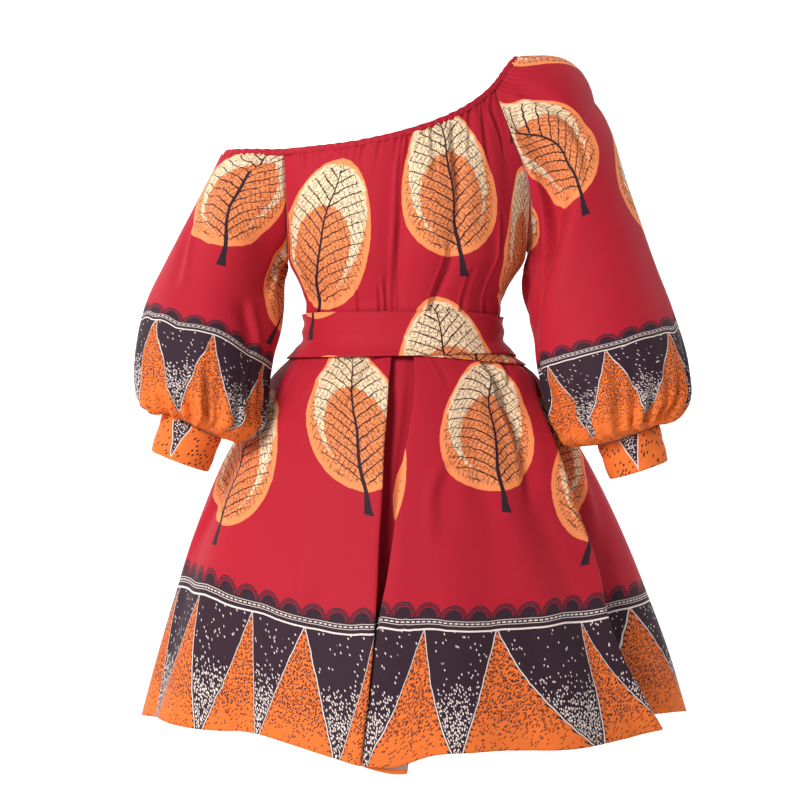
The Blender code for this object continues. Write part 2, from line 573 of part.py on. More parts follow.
def casing(sheets):
    """The elastic casing: a flat tube on the upper edges of the four sheets round the neck."""
    stretches = (
        (sheets["bodice_front"], ARMHOLE_COLUMNS, FRONT_NECK_COLUMNS),
        (sheets["sleeve_covered"], ARMHOLE_COLUMNS, SHOULDER_NECK_COLUMNS),
        (sheets["bodice_back"], ARMHOLE_COLUMNS, BACK_NECK_COLUMNS),
        (sheets["sleeve_bare"], ARMHOLE_COLUMNS - 1, BARE_ARM_NECK_COLUMNS),
    )
    lower = []
    below = []
    for sheet, first, count in stretches:
        rows = sheet[:, first:first + count]
        lower.append(rows[0])
        below.append(rows[2])
    lower = np.concatenate(lower)
    up = lower - np.concatenate(below)
    up /= np.linalg.norm(up, axis=1, keepdims=True)
    for _ in range(6):
        up = (np.roll(up, 1, 0) + 2 * up + np.roll(up, -1, 0)) / 4
        lower = (np.roll(lower, 1, 0) + 2 * lower + np.roll(lower, -1, 0)) / 4
    along = np.roll(lower, -1, 0) - np.roll(lower, 1, 0)
    along /= np.linalg.norm(along, axis=1, keepdims=True)
    out = np.cross(along, up)
    out /= np.linalg.norm(out, axis=1, keepdims=True)
    up = np.cross(out, along)
    centre = lower + up * (CASING_HALF_HEIGHT + SEAM_GAP)
    turn = 2 * np.pi * (np.arange(CASING_SIDES) + 0.5) / CASING_SIDES
    return np.array([centre + up * CASING_HALF_HEIGHT * np.cos(t)
                     + out * CASING_HALF_THICKNESS * np.sin(t) for t in turn])


def quads(index):
    """Faces between the rows and columns of an index table, outer side up for a sheet."""
    return np.stack([index[:-1, :-1], index[1:, :-1], index[1:, 1:], index[:-1, 1:]], -1).reshape(-1, 4)


def wrapped(index, columns=False, rows=False):
    """The index table with its first column or row again at its end, to close a tube."""
    if columns:
        index = np.concatenate([index, index[:, :1]], axis=1)
    if rows:
        index = np.concatenate([index, index[:1]], axis=0)
    return index


def walled(sheet, out, closed):
    """Points and faces of a sheet with a wall on its inner side, along the given normals."""
    rows, columns = sheet.shape[:2]
    outer = wrapped(np.arange(rows * columns).reshape(rows, columns), closed)
    inner = outer + rows * columns
    points = np.concatenate([sheet.reshape(-1, 3), (sheet - out * WALL).reshape(-1, 3)])
    faces = [quads(outer), quads(inner)[:, ::-1],
             quads(np.stack([inner[0], outer[0]])), quads(np.stack([outer[-1], inner[-1]]))]
    if not closed:
        faces += [quads(np.stack([inner[:, 0], outer[:, 0]], 1)),
                  quads(np.stack([outer[:, -1], inner[:, -1]], 1))]
    return points, np.concatenate(faces)


def add_piece(name, points, faces, collection, rig, paint):
    """A mesh object in metres with its material and its parent."""
    mesh = bpy.data.meshes.new(name)
    mesh.from_pydata((points.reshape(-1, 3) * MM).tolist(), [], faces.tolist())
    mesh.shade_smooth()
    material = bpy.data.materials.new(name + "_cloth")
    material.use_nodes = True
    shader = material.node_tree.nodes["Principled BSDF"]
    shader.inputs["Base Color"].default_value = (paint.red, paint.green, paint.blue, 1.0)
    shader.inputs["Roughness"].default_value = paint.roughness
    shader.inputs["Metallic"].default_value = 0.0
    mesh.materials.append(material)
    piece = bpy.data.objects.new(name, mesh)
    collection.objects.link(piece)
    piece.parent = rig
    return piece


def add_band(name, sheet, collection, rig, paint, wall, closed=True):
    """A band or cuff: an open sheet with a Solidify wall on its inner side."""
    index = wrapped(np.arange(sheet.shape[0] * sheet.shape[1]).reshape(sheet.shape[:2]), closed)
    piece = add_piece(name, sheet, quads(index), collection, rig, paint)
    solidify = piece.modifiers.new("wall", "SOLIDIFY")
    solidify.thickness = wall * MM
    solidify.offset = -1.0


def main():
    """Builds the dress, one object for each sewn piece."""
    for item in list(bpy.data.objects):
        bpy.data.objects.remove(item)
    collection = bpy.data.collections.new("ankara_dress")
    bpy.context.scene.collection.children.link(collection)
    rig = bpy.data.objects.new("dress", None)
    rig.location = [-value * MM for value in SHOULDER_REST]
    collection.objects.link(rig)

    sheets = {
        "bodice_front": bodice("front"),
        "bodice_back": bodice("back"),
        "sleeve_bare": sleeve("bare"),
        "sleeve_covered": sleeve("covered"),
        "skirt_front": skirt("front"),
        "skirt_back": skirt("back"),
    }
    outs = sewn_outs(sheets)
    for which in ("bare", "covered"):
        sheets["sleeve_" + which] = clear_of_armpit(sheets["sleeve_" + which], which)
    for name, sheet in sheets.items():
        points, faces = walled(drawn_back(sheet, is_tube(name)), outs[name], is_tube(name))
        add_piece(name, points, faces, collection, rig, PRINT_RED)
    for which in ("bare", "covered"):
        add_band("cuff_" + which, cuff(which), collection, rig, BORDER_ORANGE, CUFF_WALL)
    add_band("belt", belt(), collection, rig, PRINT_RED, BELT_WALL)
    add_band("belt_tail", belt_tail(), collection, rig, PRINT_RED, TAIL_WALL, closed=False)
    tube = casing(sheets)
    index = wrapped(np.arange(tube.shape[0] * tube.shape[1]).reshape(tube.shape[:2]), True, True)
    add_piece("neck_casing", tube, quads(index), collection, rig, PRINT_RED)
    bpy.context.view_layer.update()


main()
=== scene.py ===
"""Looks of the ankara wax print dress: cloth shells, print, seams, stage, lights and camera.

Sizes in the tables are in millimetres, measured from the middle of the body at the height of the
covered shoulder's top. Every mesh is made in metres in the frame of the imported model. -Y is the
front and +X is the wearer's left.
"""

import logging
from dataclasses import dataclass
from enum import Enum
from typing import NamedTuple

import bpy
import numpy as np
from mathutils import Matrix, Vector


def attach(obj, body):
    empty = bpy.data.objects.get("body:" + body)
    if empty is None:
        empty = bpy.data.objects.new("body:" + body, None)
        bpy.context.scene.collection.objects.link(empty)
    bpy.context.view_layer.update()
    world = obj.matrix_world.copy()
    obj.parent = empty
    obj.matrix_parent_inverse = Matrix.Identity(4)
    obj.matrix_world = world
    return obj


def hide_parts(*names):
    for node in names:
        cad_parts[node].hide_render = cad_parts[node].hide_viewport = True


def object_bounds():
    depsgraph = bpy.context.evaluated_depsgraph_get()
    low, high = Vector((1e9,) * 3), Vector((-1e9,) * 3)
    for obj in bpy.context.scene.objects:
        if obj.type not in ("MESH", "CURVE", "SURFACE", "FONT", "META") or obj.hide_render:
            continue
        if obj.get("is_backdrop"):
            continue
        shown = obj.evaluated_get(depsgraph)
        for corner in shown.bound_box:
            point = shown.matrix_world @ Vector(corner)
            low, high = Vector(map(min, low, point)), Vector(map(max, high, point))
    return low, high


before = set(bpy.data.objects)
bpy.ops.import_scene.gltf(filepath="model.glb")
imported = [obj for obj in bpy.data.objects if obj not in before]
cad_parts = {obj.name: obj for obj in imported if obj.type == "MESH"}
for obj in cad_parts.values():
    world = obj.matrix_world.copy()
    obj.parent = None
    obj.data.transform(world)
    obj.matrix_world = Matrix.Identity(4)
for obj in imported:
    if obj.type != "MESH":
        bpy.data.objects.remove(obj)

CAD_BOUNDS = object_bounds()
Array, Socket = np.ndarray, bpy.types.NodeSocket

MM = 0.001
TURN = 2 * np.pi
SHOULDER_REST = np.array([168.0, 0.0, -6.0])    # where the wearer carries the dress
WAIST = -378.0            # height of the waist seam
HEM = -882.0              # usual height of the hem
SASH_FOOT = -412.0        # the skirt is held close above this height
CLOTH, CUFF_CLOTH = 0.6, 1.2       # thickness of one layer and of a doubled band
SEAM_GAP = 0.08           # between two sewn pieces
SEAM_DIP, SEAM_REACH = 1.1, 3.0    # how far the cloth rolls in along a seam
GATHER_DEPTH = 2.1        # how far the gathers below the neck casing rise and sink
ROW_SPACING = 1.12        # power that sets a skirt's rows a little closer at the waist
ARMPIT = 4                # the armhole point that is lowest
NO_BORDER = 9.0           # border height given to cloth without a border, in metres
CREASE_DEPTH = 1.6        # all creases are this much deeper than their tables say
MAP_REACH = 6             # columns to either side over which the maps' heights are evened out
BORDER_REACH = 0.16       # height of the border with its scallops, in metres


class Ring(NamedTuple):
    """A level ring of the body form: half width, depth to front and back, and squareness."""

    height: float
    centre: float
    half_width: float
    front: float
    back: float
    squareness: float


class SleeveRing(NamedTuple):
    """A ring of a sleeve, through its points nearest to and farthest from the body."""

    inner_x: float
    inner_z: float
    outer_x: float
    outer_z: float
    y: float
    half_depth: float


class Fold(NamedTuple):
    """A soft ridge or trough, with its azimuth from the upper to the lower edge of a sheet."""

    top: float
    upper: float
    lower: float
    edge: float
    before: float
    after: float
    rise_top: float
    rise_edge: float


class Crease(NamedTuple):
    """A short uneven crease: where it runs, its half widths in degrees and its depth."""

    start: float
    stop: float
    azimuth_start: float
    azimuth_stop: float
    before: float
    after: float
    depth: float


class Line(Enum):
    """What a station of the skirt front's plan is placed from."""

    EVEN = "the front's middle, in degrees"
    LEFT = "the pleat's left edge"
    MIDDLE = "the middle between its edges"
    RIGHT = "its right edge"
    SIDE = "the side fold's edge"
    REST = "that edge, as a share of the way to the side seam"


class Station(NamedTuple):
    """A column of the skirt front's plan: steps to it, its place and its distance outwards."""

    columns: int
    line: Line
    along: float
    out_top: float
    out_hem: float
    drop: float = 0.0


def table_of(kind: type, *values: tuple) -> tuple:
    """Makes a table whose rows are all of one kind."""
    return tuple(kind(*row) for row in values)


TORSO = table_of(
    Ring,
    (0, 0, 140, 50, 50, 2.3), (-55, 0, 146, 82, 85, 2.4), (-130, 0, 151, 110, 100, 2.6),
    (-200, 0, 154, 122, 102, 2.6), (-275, 0, 153.5, 118, 98, 2.5), (-310, -1.5, 138, 108, 92, 2.4),
    (-338, -2.5, 129, 101, 88, 2.3), (-382, -2.5, 128, 98, 87, 2.2),
)
SKIRT = table_of(
    Ring,
    (-370, -2.5, 128, 98, 87, 2.2), (-384, -2.5, 128.5, 98.5, 87.5, 2.2),
    (-396, -2.5, 135.5, 102, 92, 2.15), (-410, -3, 151.5, 111, 102, 2.1),
    (-430, -1, 174, 126, 118, 2.05), (-464, 0, 191, 145, 138, 2), (-525, 0, 231, 172, 160, 2),
    (-608, 3, 271, 203, 188, 2), (-720, 8, 312.5, 238, 217, 2), (-794, 10.5, 337, 257, 232, 2),
    (-880, 11.5, 361, 273, 246, 2), (-910, 12, 369, 278, 250, 2),
)
FRONT_HEM = (
    (-90, -881), (-62, -869), (-46, -870.5), (-32, -869.5), (-24, -878), (-16, -889.5),
    (-9, -898.5), (-4, -899), (3, -886), (12, -883), (30, -885.5), (45, -882), (55, -876),
    (66, -866.5), (76, -868), (90, -878.5),
)
BACK_HEM = (
    (90, -878.5), (116, -872), (134, -880), (152, -876), (180, -886), (206, -876), (228, -881),
    (247, -871), (270, -881),
)

# Upper edge of the cloth round the neck, from the bare shoulder's front raglan seam.
NECK_LOOP = (
    (-158, -58, -143), (-135, -77, -143), (-70, -105, -139.5), (-2, -112, -126), (59, -98, -103),
    (95, -76, -79.5), (116.5, -59, -59), (137, -34, -27), (153.5, 4, -5.5), (138, 42, -28),
    (113, 66, -62), (85, 83, -80), (45, 97, -97), (0, 103, -110), (-50, 101, -119),
    (-110, 81, -126), (-158, 50, -131), (-200, 44, -136), (-234, 22, -136), (-243.5, -4, -137),
    (-232, -30, -139), (-200, -50, -141.5),
)
BARE_FRONT, COVERED_FRONT, COVERED_BACK, BARE_BACK = 0, 6, 10, 16
BARE_ARMHOLE = (
    NECK_LOOP[BARE_FRONT], (-156, -57, -180), (-154.5, -46, -229), (-154.5, -24, -266),
    (-155, 0, -279.5), (-154.5, 22, -264), (-155.5, 40, -225), (-157.5, 48, -175),
    NECK_LOOP[BARE_BACK],
)
COVERED_ARMHOLE = (
    NECK_LOOP[COVERED_FRONT], (140.5, -69, -125), (158, -60, -170), (164, -34, -232),
    (157, 0, -266.5), (163, 34, -232), (156, 58, -170), (139, 69, -125), NECK_LOOP[COVERED_BACK],
)
BARE_SLEEVE = table_of(
    SleeveRing,
    (-156, -285, -256, -160, 0, 67), (-159.5, -311, -285.5, -219.5, -10, 73),
    (-159.5, -342.5, -315, -281.5, -26, 78), (-162.5, -374.5, -338, -335.5, -44, 82),
    (-171.5, -409, -348.5, -392, -62, 83), (-181, -444.5, -346, -440.5, -79, 78),
    (-187.5, -476.5, -336.5, -463.5, -92, 68), (-201.5, -507, -324.5, -472.5, -97, 58),
    (-219, -515, -314, -474, -98, 49), (-234.5, -512.5, -309, -476.5, -98, 39),
)
COVERED_SLEEVE = table_of(
    SleeveRing,
    (162.5, -269, 256, -74.5, 2, 68), (156.5, -293.5, 296, -187.5, -9, 73),
    (157, -334.5, 326, -281.5, -24, 79), (163.5, -378.5, 352.5, -359, -42, 84),
    (170, -422, 365.5, -422, -60, 83), (184.5, -466.5, 361.5, -463.5, -77, 76),
    (199, -503.5, 345.5, -480.5, -90, 65), (221.5, -522.5, 334.5, -490.5, -93, 53),
    (246, -522.5, 325.5, -494.5, -94, 40),
)
BARE_CUFF_END = SleeveRing(-252, -555.5, -325, -527.5, -101, 38)
COVERED_CUFF_END = SleeveRing(262, -565, 336.5, -540.5, -98, 39)

# Lines of the skirt front's pleat and side fold, as share of the way down and azimuth.
PLEAT_LEFT = (
    (0, -4.8), (0.069, -5), (0.116, -6.2), (0.236, -6.5), (0.382, -6.6), (0.48, -7.2), (0.65, -7.9),
    (0.794, -8.8), (0.972, -10), (1, -10.2),
)
PLEAT_RIGHT = (
    (0, 4.8), (0.074, 4.5), (0.193, 2.5), (0.257, 0.75), (0.302, -0.5), (0.371, -2), (0.485, -3.9),
    (0.6, -6), (0.65, -7.1), (0.794, -9.4), (1, -11.6),
)
SIDE_FOLD = (
    (0, 72), (0.101, 67.75), (0.261, 57.25), (0.447, 51.75), (0.596, 51), (0.702, 48.7),
    (0.792, 49.2), (0.9, 52.6), (1, 57),
)
EVEN, LEFT, MIDDLE, RIGHT, SIDE, REST = Line
SKIRT_FRONT_PLAN = table_of(
    Station,
    # up to the pleat
    (0, EVEN, -90, 0, 0), (38, EVEN, -66, 0, 0), (50, EVEN, -34, 0, 0),
    (22, LEFT, -34, 0.5, 2.5), (12, LEFT, -13, 1.5, 6), (8, LEFT, -3, 2.2, 7.5),
    # the pleat's left edge and the cloth turned under it
    (3, LEFT, 0, 0.9, 5.5), (3, LEFT, -2.5, -1.6, 0.5), (5, LEFT, -13.6, -4, -5),
    (3, LEFT, -16.6, -6, -8), (3, LEFT, -13.6, -8, -11),
    # the recess's floor
    (6, LEFT, -1, -17, -24), (6, MIDDLE, 0, -14, -23, 2), (6, RIGHT, 1, -17.5, -25, 3),
    (6, RIGHT, 58, -9, -14, 12),
    # the cloth turned under the right edge
    (3, RIGHT, 62, -7, -10.5, 13), (3, RIGHT, 58, -5.2, -8, 12), (7, RIGHT, 3, -2.6, -4.6, 1),
    # the right edge and the cloth beyond it
    (3, RIGHT, 0, 0.6, -1.2), (3, RIGHT, 3, 1.8, -0.4), (8, RIGHT, 14, 1.6, 1.8),
    (20, RIGHT, 50, 0.4, 2.2),
    # up to the side fold
    (26, SIDE, -52, 0, 0), (14, SIDE, -18, 1.6, 7), (8, SIDE, -4, 3.6, 13.5),
    # the side fold's edge and the cloth turned under it
    (3, SIDE, 0, 2.4, 12), (3, SIDE, -2.5, -0.6, 6), (5, SIDE, -17, -3, -2),
    (3, SIDE, -19.5, -4.4, -5), (3, SIDE, -17, -5.8, -8),
    # out again to the side seam
    (6, SIDE, 1, -12, -27), (8, REST, 0.14, -13, -32), (13, REST, 0.42, -3.5, -9),
    (13, REST, 0.7, 0.5, 3), (14, EVEN, 90, 0, 0),
)
PLEAT_STATION = 6         # the plan's station on the pleat's left edge
# Columns of a sheet, and how much higher than usual the border's line runs there.
FRONT_BORDER_RISE = (
    (0, 36), (18, 33), (36, 28), (54, 25), (63, 21), (72, 14), (81, 6), (90, 1), (99, 1), (108, 7),
    (120, 12), (135, 14), (182, 18), (190, 24), (212, 24.5), (217, 20), (224, 9), (230, 8),
    (236, 16), (242, 19), (266, 19), (284, 15), (292, 9), (300, 5), (308, 5), (316, 8), (324, 11),
    (336, 12),
)
# Columns of the skirt front, and where each comes in the border's repeat, in metres.
FRONT_BORDER_ALONG = (
    (0, -0.06), (49, 0.114), (81, 0.228), (98, 0.342), (132, 0.453), (200, 0.633), (220, 0.684),
    (231, 0.798), (249, 0.912), (270, 0.962), (309, 1.026), (336, 1.105),
)
BACK_BORDER_RISE = ((0, 12), (130, 16), (260, 34))
BARE_BORDER_RISE = (
    (0, 0), (60, 0), (112, 15), (136, 13), (152, 6), (176, 0), (192, 0), (208, 0),
)
COVERED_BORDER_RISE = (
    (0, 2), (16, 5), (32, -4), (48, -2), (64, 4), (80, 11), (96, 12), (140, 4), (208, 2),
)
FRONT_SKIRT_FOLDS = table_of(
    Fold,
    (42, 36, 40, 43, 5, 4, -5, -3), (30, 28, 31, 32, 5, 5, 0, 4), (-30, -32, -36, -38, 9, 9, 0, -7),
    (-52, -54, -55, -56, 9, 9, 0, 8), (-76, -72, -72, -72, 5, 8, -3, -9),
    (18, 20, 20, 19, 5, 5, 0, -6), (8, 9, 10, 9, 5, 5, 0, 3),
)
FRONT_SKIRT_CREASES = table_of(
    Crease,
    (0.04, 0.17, -25.5, -41, 1.4, 4.2, -4.2), (0.04, 0.22, -12.5, -24, 1, 3.4, -4.2),
    (0.04, 0.13, -17, -22, 1, 2, -1.8), (0.04, 0.44, 42, 36.5, 1.7, 5, -8.5),
    (0.04, 0.18, 55, 44, 1.2, 3, -3), (0.04, 0.26, 76, 64, 1.4, 3, -3.5),
    (0.04, 0.20, 84, 76, 1.6, 2.6, -2.6), (0.30, 0.62, 76, 62, 2.2, 4, -2.4),
    (0.33, 0.68, -68, -79, 2.6, 5.5, -4), (0.30, 0.52, 15.5, 6, 1.6, 5, -2.8),
    (0.04, 0.16, 14, 17, 1.2, 1.8, -0.7), (0.05, 0.40, -56, -60, 3, 4, -2.4),
    (0.84, 1.04, 21, 25, 1.2, 2.2, -3.2), (0.62, 1.02, 27, 29, 2, 3, -2.6),
    (0.88, 1.03, -43, -37.5, 1.4, 2.6, -3.4), (0.55, 0.98, -22, -23, 3, 3.5, -2.2),
    (0.10, 0.55, 25, 22, 3, 4, -1.6),
)
BACK_SKIRT_FOLDS = table_of(
    Fold,
    (112, 113, 115, 116, 4.5, 8, -3, -17), (130, 132, 134, 135, 8, 8, 0, 12),
    (152, 153, 152, 150, 8, 4.5, -3, -19), (178, 179, 180, 178, 9, 9, 1, 12),
    (204, 203, 205, 208, 4.5, 8, -3, -19), (228, 230, 229, 226, 9, 9, 0, 12),
    (248, 247, 245, 246, 8, 4.5, -3, -16),
)
BACK_SKIRT_CREASES = table_of(
    Crease,
    (0.04, 0.22, 102, 112, 1.4, 3.4, -3.6), (0.04, 0.30, 122, 128, 1.4, 3, -3.2),
    (0.04, 0.18, 138, 146, 1.2, 3, -3.4), (0.04, 0.26, 168, 164, 1.4, 3, -3),
    (0.04, 0.20, 186, 192, 1.2, 3, -3.4), (0.04, 0.32, 216, 213, 1.4, 3.4, -3.4),
    (0.04, 0.20, 236, 228, 1.2, 3, -3.2), (0.04, 0.24, 258, 252, 1.4, 3, -3.2),
    (0.45, 0.92, 166, 170, 2.6, 4, -3), (0.50, 0.96, 218, 216, 2.6, 4, -3),
    (0.40, 0.80, 124, 125, 2.4, 4, -2.6), (0.85, 1.03, 142, 140, 1.6, 2.4, -3),
    (0.87, 1.03, 190, 194, 1.6, 2.4, -3), (0.86, 1.03, 238, 236, 1.6, 2.4, -3),
)
FRONT_BODICE_FOLDS = table_of(
    Fold,
    (-8, -6, -5.5, -6, 4, 5, -1.5, -4.5), (6, 8, 8, 7, 6, 6, 3, 2),
    (22, 21, 18, 13, 3.6, 5, -5, -4), (36, 38, 44, 50, 6, 5, 1, -4),
    (-44, -46, -50, -54, 5, 5, 0, -4), (-28, -28, -29, -30, 8, 8, 1, 3),
)
FRONT_BODICE_CREASES = table_of(
    Crease,
    (0.10, 1.04, -4.6, -3.2, 0.8, 3, -2.6), (0.22, 1.04, -2.6, -1.2, 0.7, 1.8, -1.8),
    (0.70, 1.04, -7.6, -7.6, 0.8, 1.2, -2), (0.74, 1.04, -11, -12.5, 0.8, 1.4, -1.6),
    (0.58, 1.04, 16, 11.6, 0.8, 3.2, -3.4), (0.50, 1.04, 49, 55, 1, 3.6, -3.6),
    (0.02, 0.52, 20.4, 19.4, 1, 3.4, -3.4), (0.70, 1.04, 33, 31, 1, 2.2, -1.8),
    (0.66, 1.04, 66, 71, 1.2, 3, -2.6), (0.36, 0.92, -58, -70, 1.4, 2.6, -2.4),
    (0.44, 0.96, -64, -80, 1.4, 2.4, -2), (0.72, 1.04, -40, -42, 1, 2.2, -1.8),
    (0.70, 1.04, -24, -22.5, 0.9, 1.6, -1.4), (0.02, 0.36, -1, -2, 1.2, 2.4, -1.8),
    (0.02, 0.30, 10, 9, 1.2, 2, -1.6), (0.02, 0.24, 29, 29.5, 1.2, 2, -1.8),
    (0.02, 0.34, 38, 42, 1.2, 2.6, -2), (0.02, 0.26, 45, 52, 1.2, 2.6, -2.2),
    (0.02, 0.30, -38, -36, 1.4, 2.4, -1.6), (0.02, 0.24, -54, -53, 1.4, 2.4, -1.6),
)
BACK_BODICE_FOLDS = table_of(
    Fold,
    (130, 134, 136, 138, 6, 6, -2, -4), (160, 162, 160, 158, 8, 8, 2, 3),
    (196, 192, 190, 192, 6, 6, -3, -4), (228, 226, 224, 222, 7, 7, -1, -4),
)
BACK_BODICE_CREASES = table_of(
    Crease,
    (0.02, 0.60, 150, 152, 1.2, 3, -2.6), (0.02, 0.40, 172, 174, 1.2, 2.6, -2.2),
    (0.02, 0.50, 206, 203, 1.2, 3, -2.6), (0.60, 1.04, 128, 126, 1, 2.6, -2.4),
    (0.66, 1.04, 146, 147, 1, 2.4, -2.2), (0.62, 1.04, 170, 168, 1, 2.6, -2.4),
    (0.68, 1.04, 184, 186, 1, 2.2, -2), (0.60, 1.04, 208, 210, 1, 2.6, -2.4),
    (0.66, 1.04, 232, 234, 1, 2.4, -2.2), (0.58, 1.04, 250, 253, 1.2, 2.6, -2.4),
)
# On a sleeve the azimuth runs from the inner line over the front.
COVERED_SLEEVE_FOLDS = table_of(
    Fold,
    (150, 86, 34, 10, 10, 22, 9, 0), (112, 56, 12, -10, 20, 13, -29, -3),
    (215, 250, 285, 300, 18, 18, -8, -4), (175, 165, 160, 150, 16, 16, 2, 4),
)
COVERED_SLEEVE_CREASES = table_of(
    Crease,
    (0.04, 0.30, 128, 104, 3, 8, -4), (0.06, 0.44, 70, 44, 3.5, 9, -6),
    (0.10, 0.50, 42, 20, 3, 8, -5), (0.34, 0.66, 44, 18, 3, 9, -5), (0.40, 0.64, 8, -14, 4, 8, -4),
    (0.10, 0.46, 300, 316, 4, 9, -5), (0.22, 0.60, 250, 262, 4, 10, -5),
    (0.03, 0.26, 232, 244, 4, 8, -4), (0.50, 0.86, 196, 190, 5, 8, -4),
)
BARE_SLEEVE_FOLDS = table_of(
    Fold,
    (60, 48, 40, 40, 18, 20, -7, -3), (150, 128, 110, 110, 16, 18, -5, 0),
    (95, 88, 80, 75, 18, 18, 3, 4), (250, 262, 280, 290, 18, 18, -7, -3),
)
BARE_SLEEVE_CREASES = table_of(
    Crease,
    (0.02, 0.20, 118, 140, 3, 7, -4), (0.02, 0.16, 98, 110, 3, 6, -3),
    (0.02, 0.42, 24, 34, 3, 10, -7), (0.10, 0.40, 8, 20, 3, 9, -5),
    (0.24, 0.52, 150, 132, 4, 10, -3), (0.02, 0.36, 330, 318, 3, 9, -6),
    (0.10, 0.50, 284, 276, 4, 10, -5), (0.02, 0.20, 236, 226, 3, 8, -4),
    (0.46, 0.74, 60, 44, 4, 10, -4),
)


def smooth(knots: Array, values: Array, places: Array, steady: bool = False) -> Array:
    """Reads a smooth curve through the values at the knots.

    Each stretch is a cubic whose end slopes are the mean of the slopes on either side.

    Args:
        knots: Rising positions of the values.
        values: One value or one row of values at each knot.
        places: Where the curve is read.
        steady: Keeps slopes small where the two sides differ, so no stretch swings past a knot.

    Returns:
        The curve's values at the places.
    """
    knots = np.asarray(knots, float)
    values = np.asarray(values, float)
    places = np.asarray(places, float)
    shape = (-1,) + (1,) * (values.ndim - 1)
    steps = np.diff(knots).reshape(shape)
    chords = np.diff(values, axis=0) / steps
    inner = (chords[:-1] * steps[1:] + chords[1:] * steps[:-1]) / (steps[:-1] + steps[1:])
    if steady:
        least = 2 * np.minimum(np.abs(chords[:-1]), np.abs(chords[1:]))
        inner = np.clip(inner, -least, least) * (chords[:-1] * chords[1:] > 0)
    slopes = np.concatenate([chords[:1], inner, chords[-1:]])
    left = np.clip(np.searchsorted(knots, places, side="right") - 1, 0, len(knots) - 2)
    shape = places.shape + (1,) * (values.ndim - 1)
    width = (knots[left + 1] - knots[left]).reshape(shape)
    part = (places - knots[left]).reshape(shape) / width
    return ((1 + 2 * part) * (1 - part) ** 2 * values[left]
            + part * (1 - part) ** 2 * width * slopes[left]
            + part ** 2 * (3 - 2 * part) * values[left + 1]
            + part ** 2 * (part - 1) * width * slopes[left + 1])


def lengths_along(points: Array, axis: int = 0) -> Array:
    """Measures from the first point of a line, a column (axis 0) or a row (axis 1) to each."""
    steps = np.linalg.norm(np.diff(points, axis=axis), axis=-1)
    return np.insert(np.cumsum(steps, axis=axis), 0, 0.0, axis=axis)


def unit(vectors: Array) -> Array:
    """Gives vectors a length of 1."""
    return vectors / np.maximum(np.linalg.norm(vectors, axis=-1, keepdims=True), 1e-9)


def power(values: Array, exponent: Array | float) -> Array:
    """Raises the sizes of values to a power and keeps their signs."""
    return np.sign(values) * np.abs(values) ** exponent


def bell(away: Array, half: Array | float) -> Array:
    """Reads a bell curve of height 1 at a distance from its middle."""
    return np.exp(-(away / half) ** 2)


def stretch(points: tuple, start: int, stop: int, count: int) -> Array:
    """Spaces points evenly along the smooth curve through a table's rows.

    Args:
        points: Rows of coordinates.
        start: Row where the stretch starts.
        stop: Row where it ends.
        count: Number of steps between them.

    Returns:
        The count + 1 points.
    """
    points = np.array(points, float)
    knots = lengths_along(points)
    return smooth(knots, points, np.linspace(knots[start], knots[stop], count + 1))


def neck_stretch(start: int, stop: int, count: int) -> Array:
    """Spaces count + 1 points from one row of the closed neck loop to another, or past its end."""
    turn = len(NECK_LOOP)
    return stretch(NECK_LOOP * 3, start + turn, stop + turn, count)


def form(rings: tuple, height: Array, azimuth: Array) -> tuple:
    """Finds points on the body form and the level directions straight out of it.

    A level is an ellipse, deeper on one side, with its sine and cosine raised to 2 / squareness.

    Args:
        rings: Rings of the form, from the top down.
        height: Heights of the points.
        azimuth: Their azimuths in degrees, 0 at the front.

    Returns:
        The points and the outward unit directions.
    """
    table = np.array(rings)[::-1]
    centre, half_width, front, back, squareness = (
        smooth(table[:, 0], table[:, 1 + k], height, steady=True) for k in range(5))
    sine, cosine = np.sin(np.radians(azimuth)), np.cos(np.radians(azimuth))
    depth = np.where(cosine > 0, front, back)
    across, along = power(sine, 2 / squareness), -power(cosine, 2 / squareness)
    points = np.stack([centre + half_width * across, depth * along, height], -1)
    out = [power(across, squareness - 1) / half_width, power(along, squareness - 1) / depth]
    return points, unit(np.stack([*out, 0 * height], -1))


def fold_rise(folds: tuple, azimuth: Array, down: Array) -> Array:
    """Adds up how far soft folds lift the cloth.

    Each fold is a bell curve across its path, with its own half width on either side.

    Args:
        folds: Table of folds.
        azimuth: Azimuths of the points.
        down: Their share of the way down the sheet.

    Returns:
        The rise in millimetres.
    """
    rise = np.zeros(np.broadcast(azimuth, down).shape)
    for fold in folds:
        path = smooth((0.0, 1 / 3, 2 / 3, 1.0), fold[:4], down)
        away = azimuth - path
        half = np.where(away < 0, fold.before, fold.after)
        size = fold.rise_top + (fold.rise_edge - fold.rise_top) * down
        rise += size * bell(away, half)
    return rise


def crease_rise(creases: tuple, azimuth: Array, down: Array) -> Array:
    """Adds up how far short creases sink or lift the cloth.

    A crease is steep on its narrow side, soft on the other, deepest a third of the way along,
    and it wanders a little about its line.

    Args:
        creases: Table of creases.
        azimuth: Azimuths of the points.
        down: Their share of the way down the sheet.

    Returns:
        The rise in millimetres.
    """
    rise = np.zeros(np.broadcast(azimuth, down).shape)
    for number, crease in enumerate(creases):
        along = (down - crease.start) / (crease.stop - crease.start)
        inside = np.clip(along, 0, 1)
        path = crease.azimuth_start + (crease.azimuth_stop - crease.azimuth_start) * inside
        path = path + 0.35 * crease.after * np.sin(5.0 * inside + 1.7 * number)
        away = azimuth - path
        half = np.where(away < 0, crease.before, crease.after)
        ends = np.sin(np.pi * inside ** 0.75) ** 0.8
        lip = 0.35 * bell(away + 2.2 * crease.before, crease.before)
        rise += CREASE_DEPTH * crease.depth * ends * (bell(away, half) - lip)
    return rise


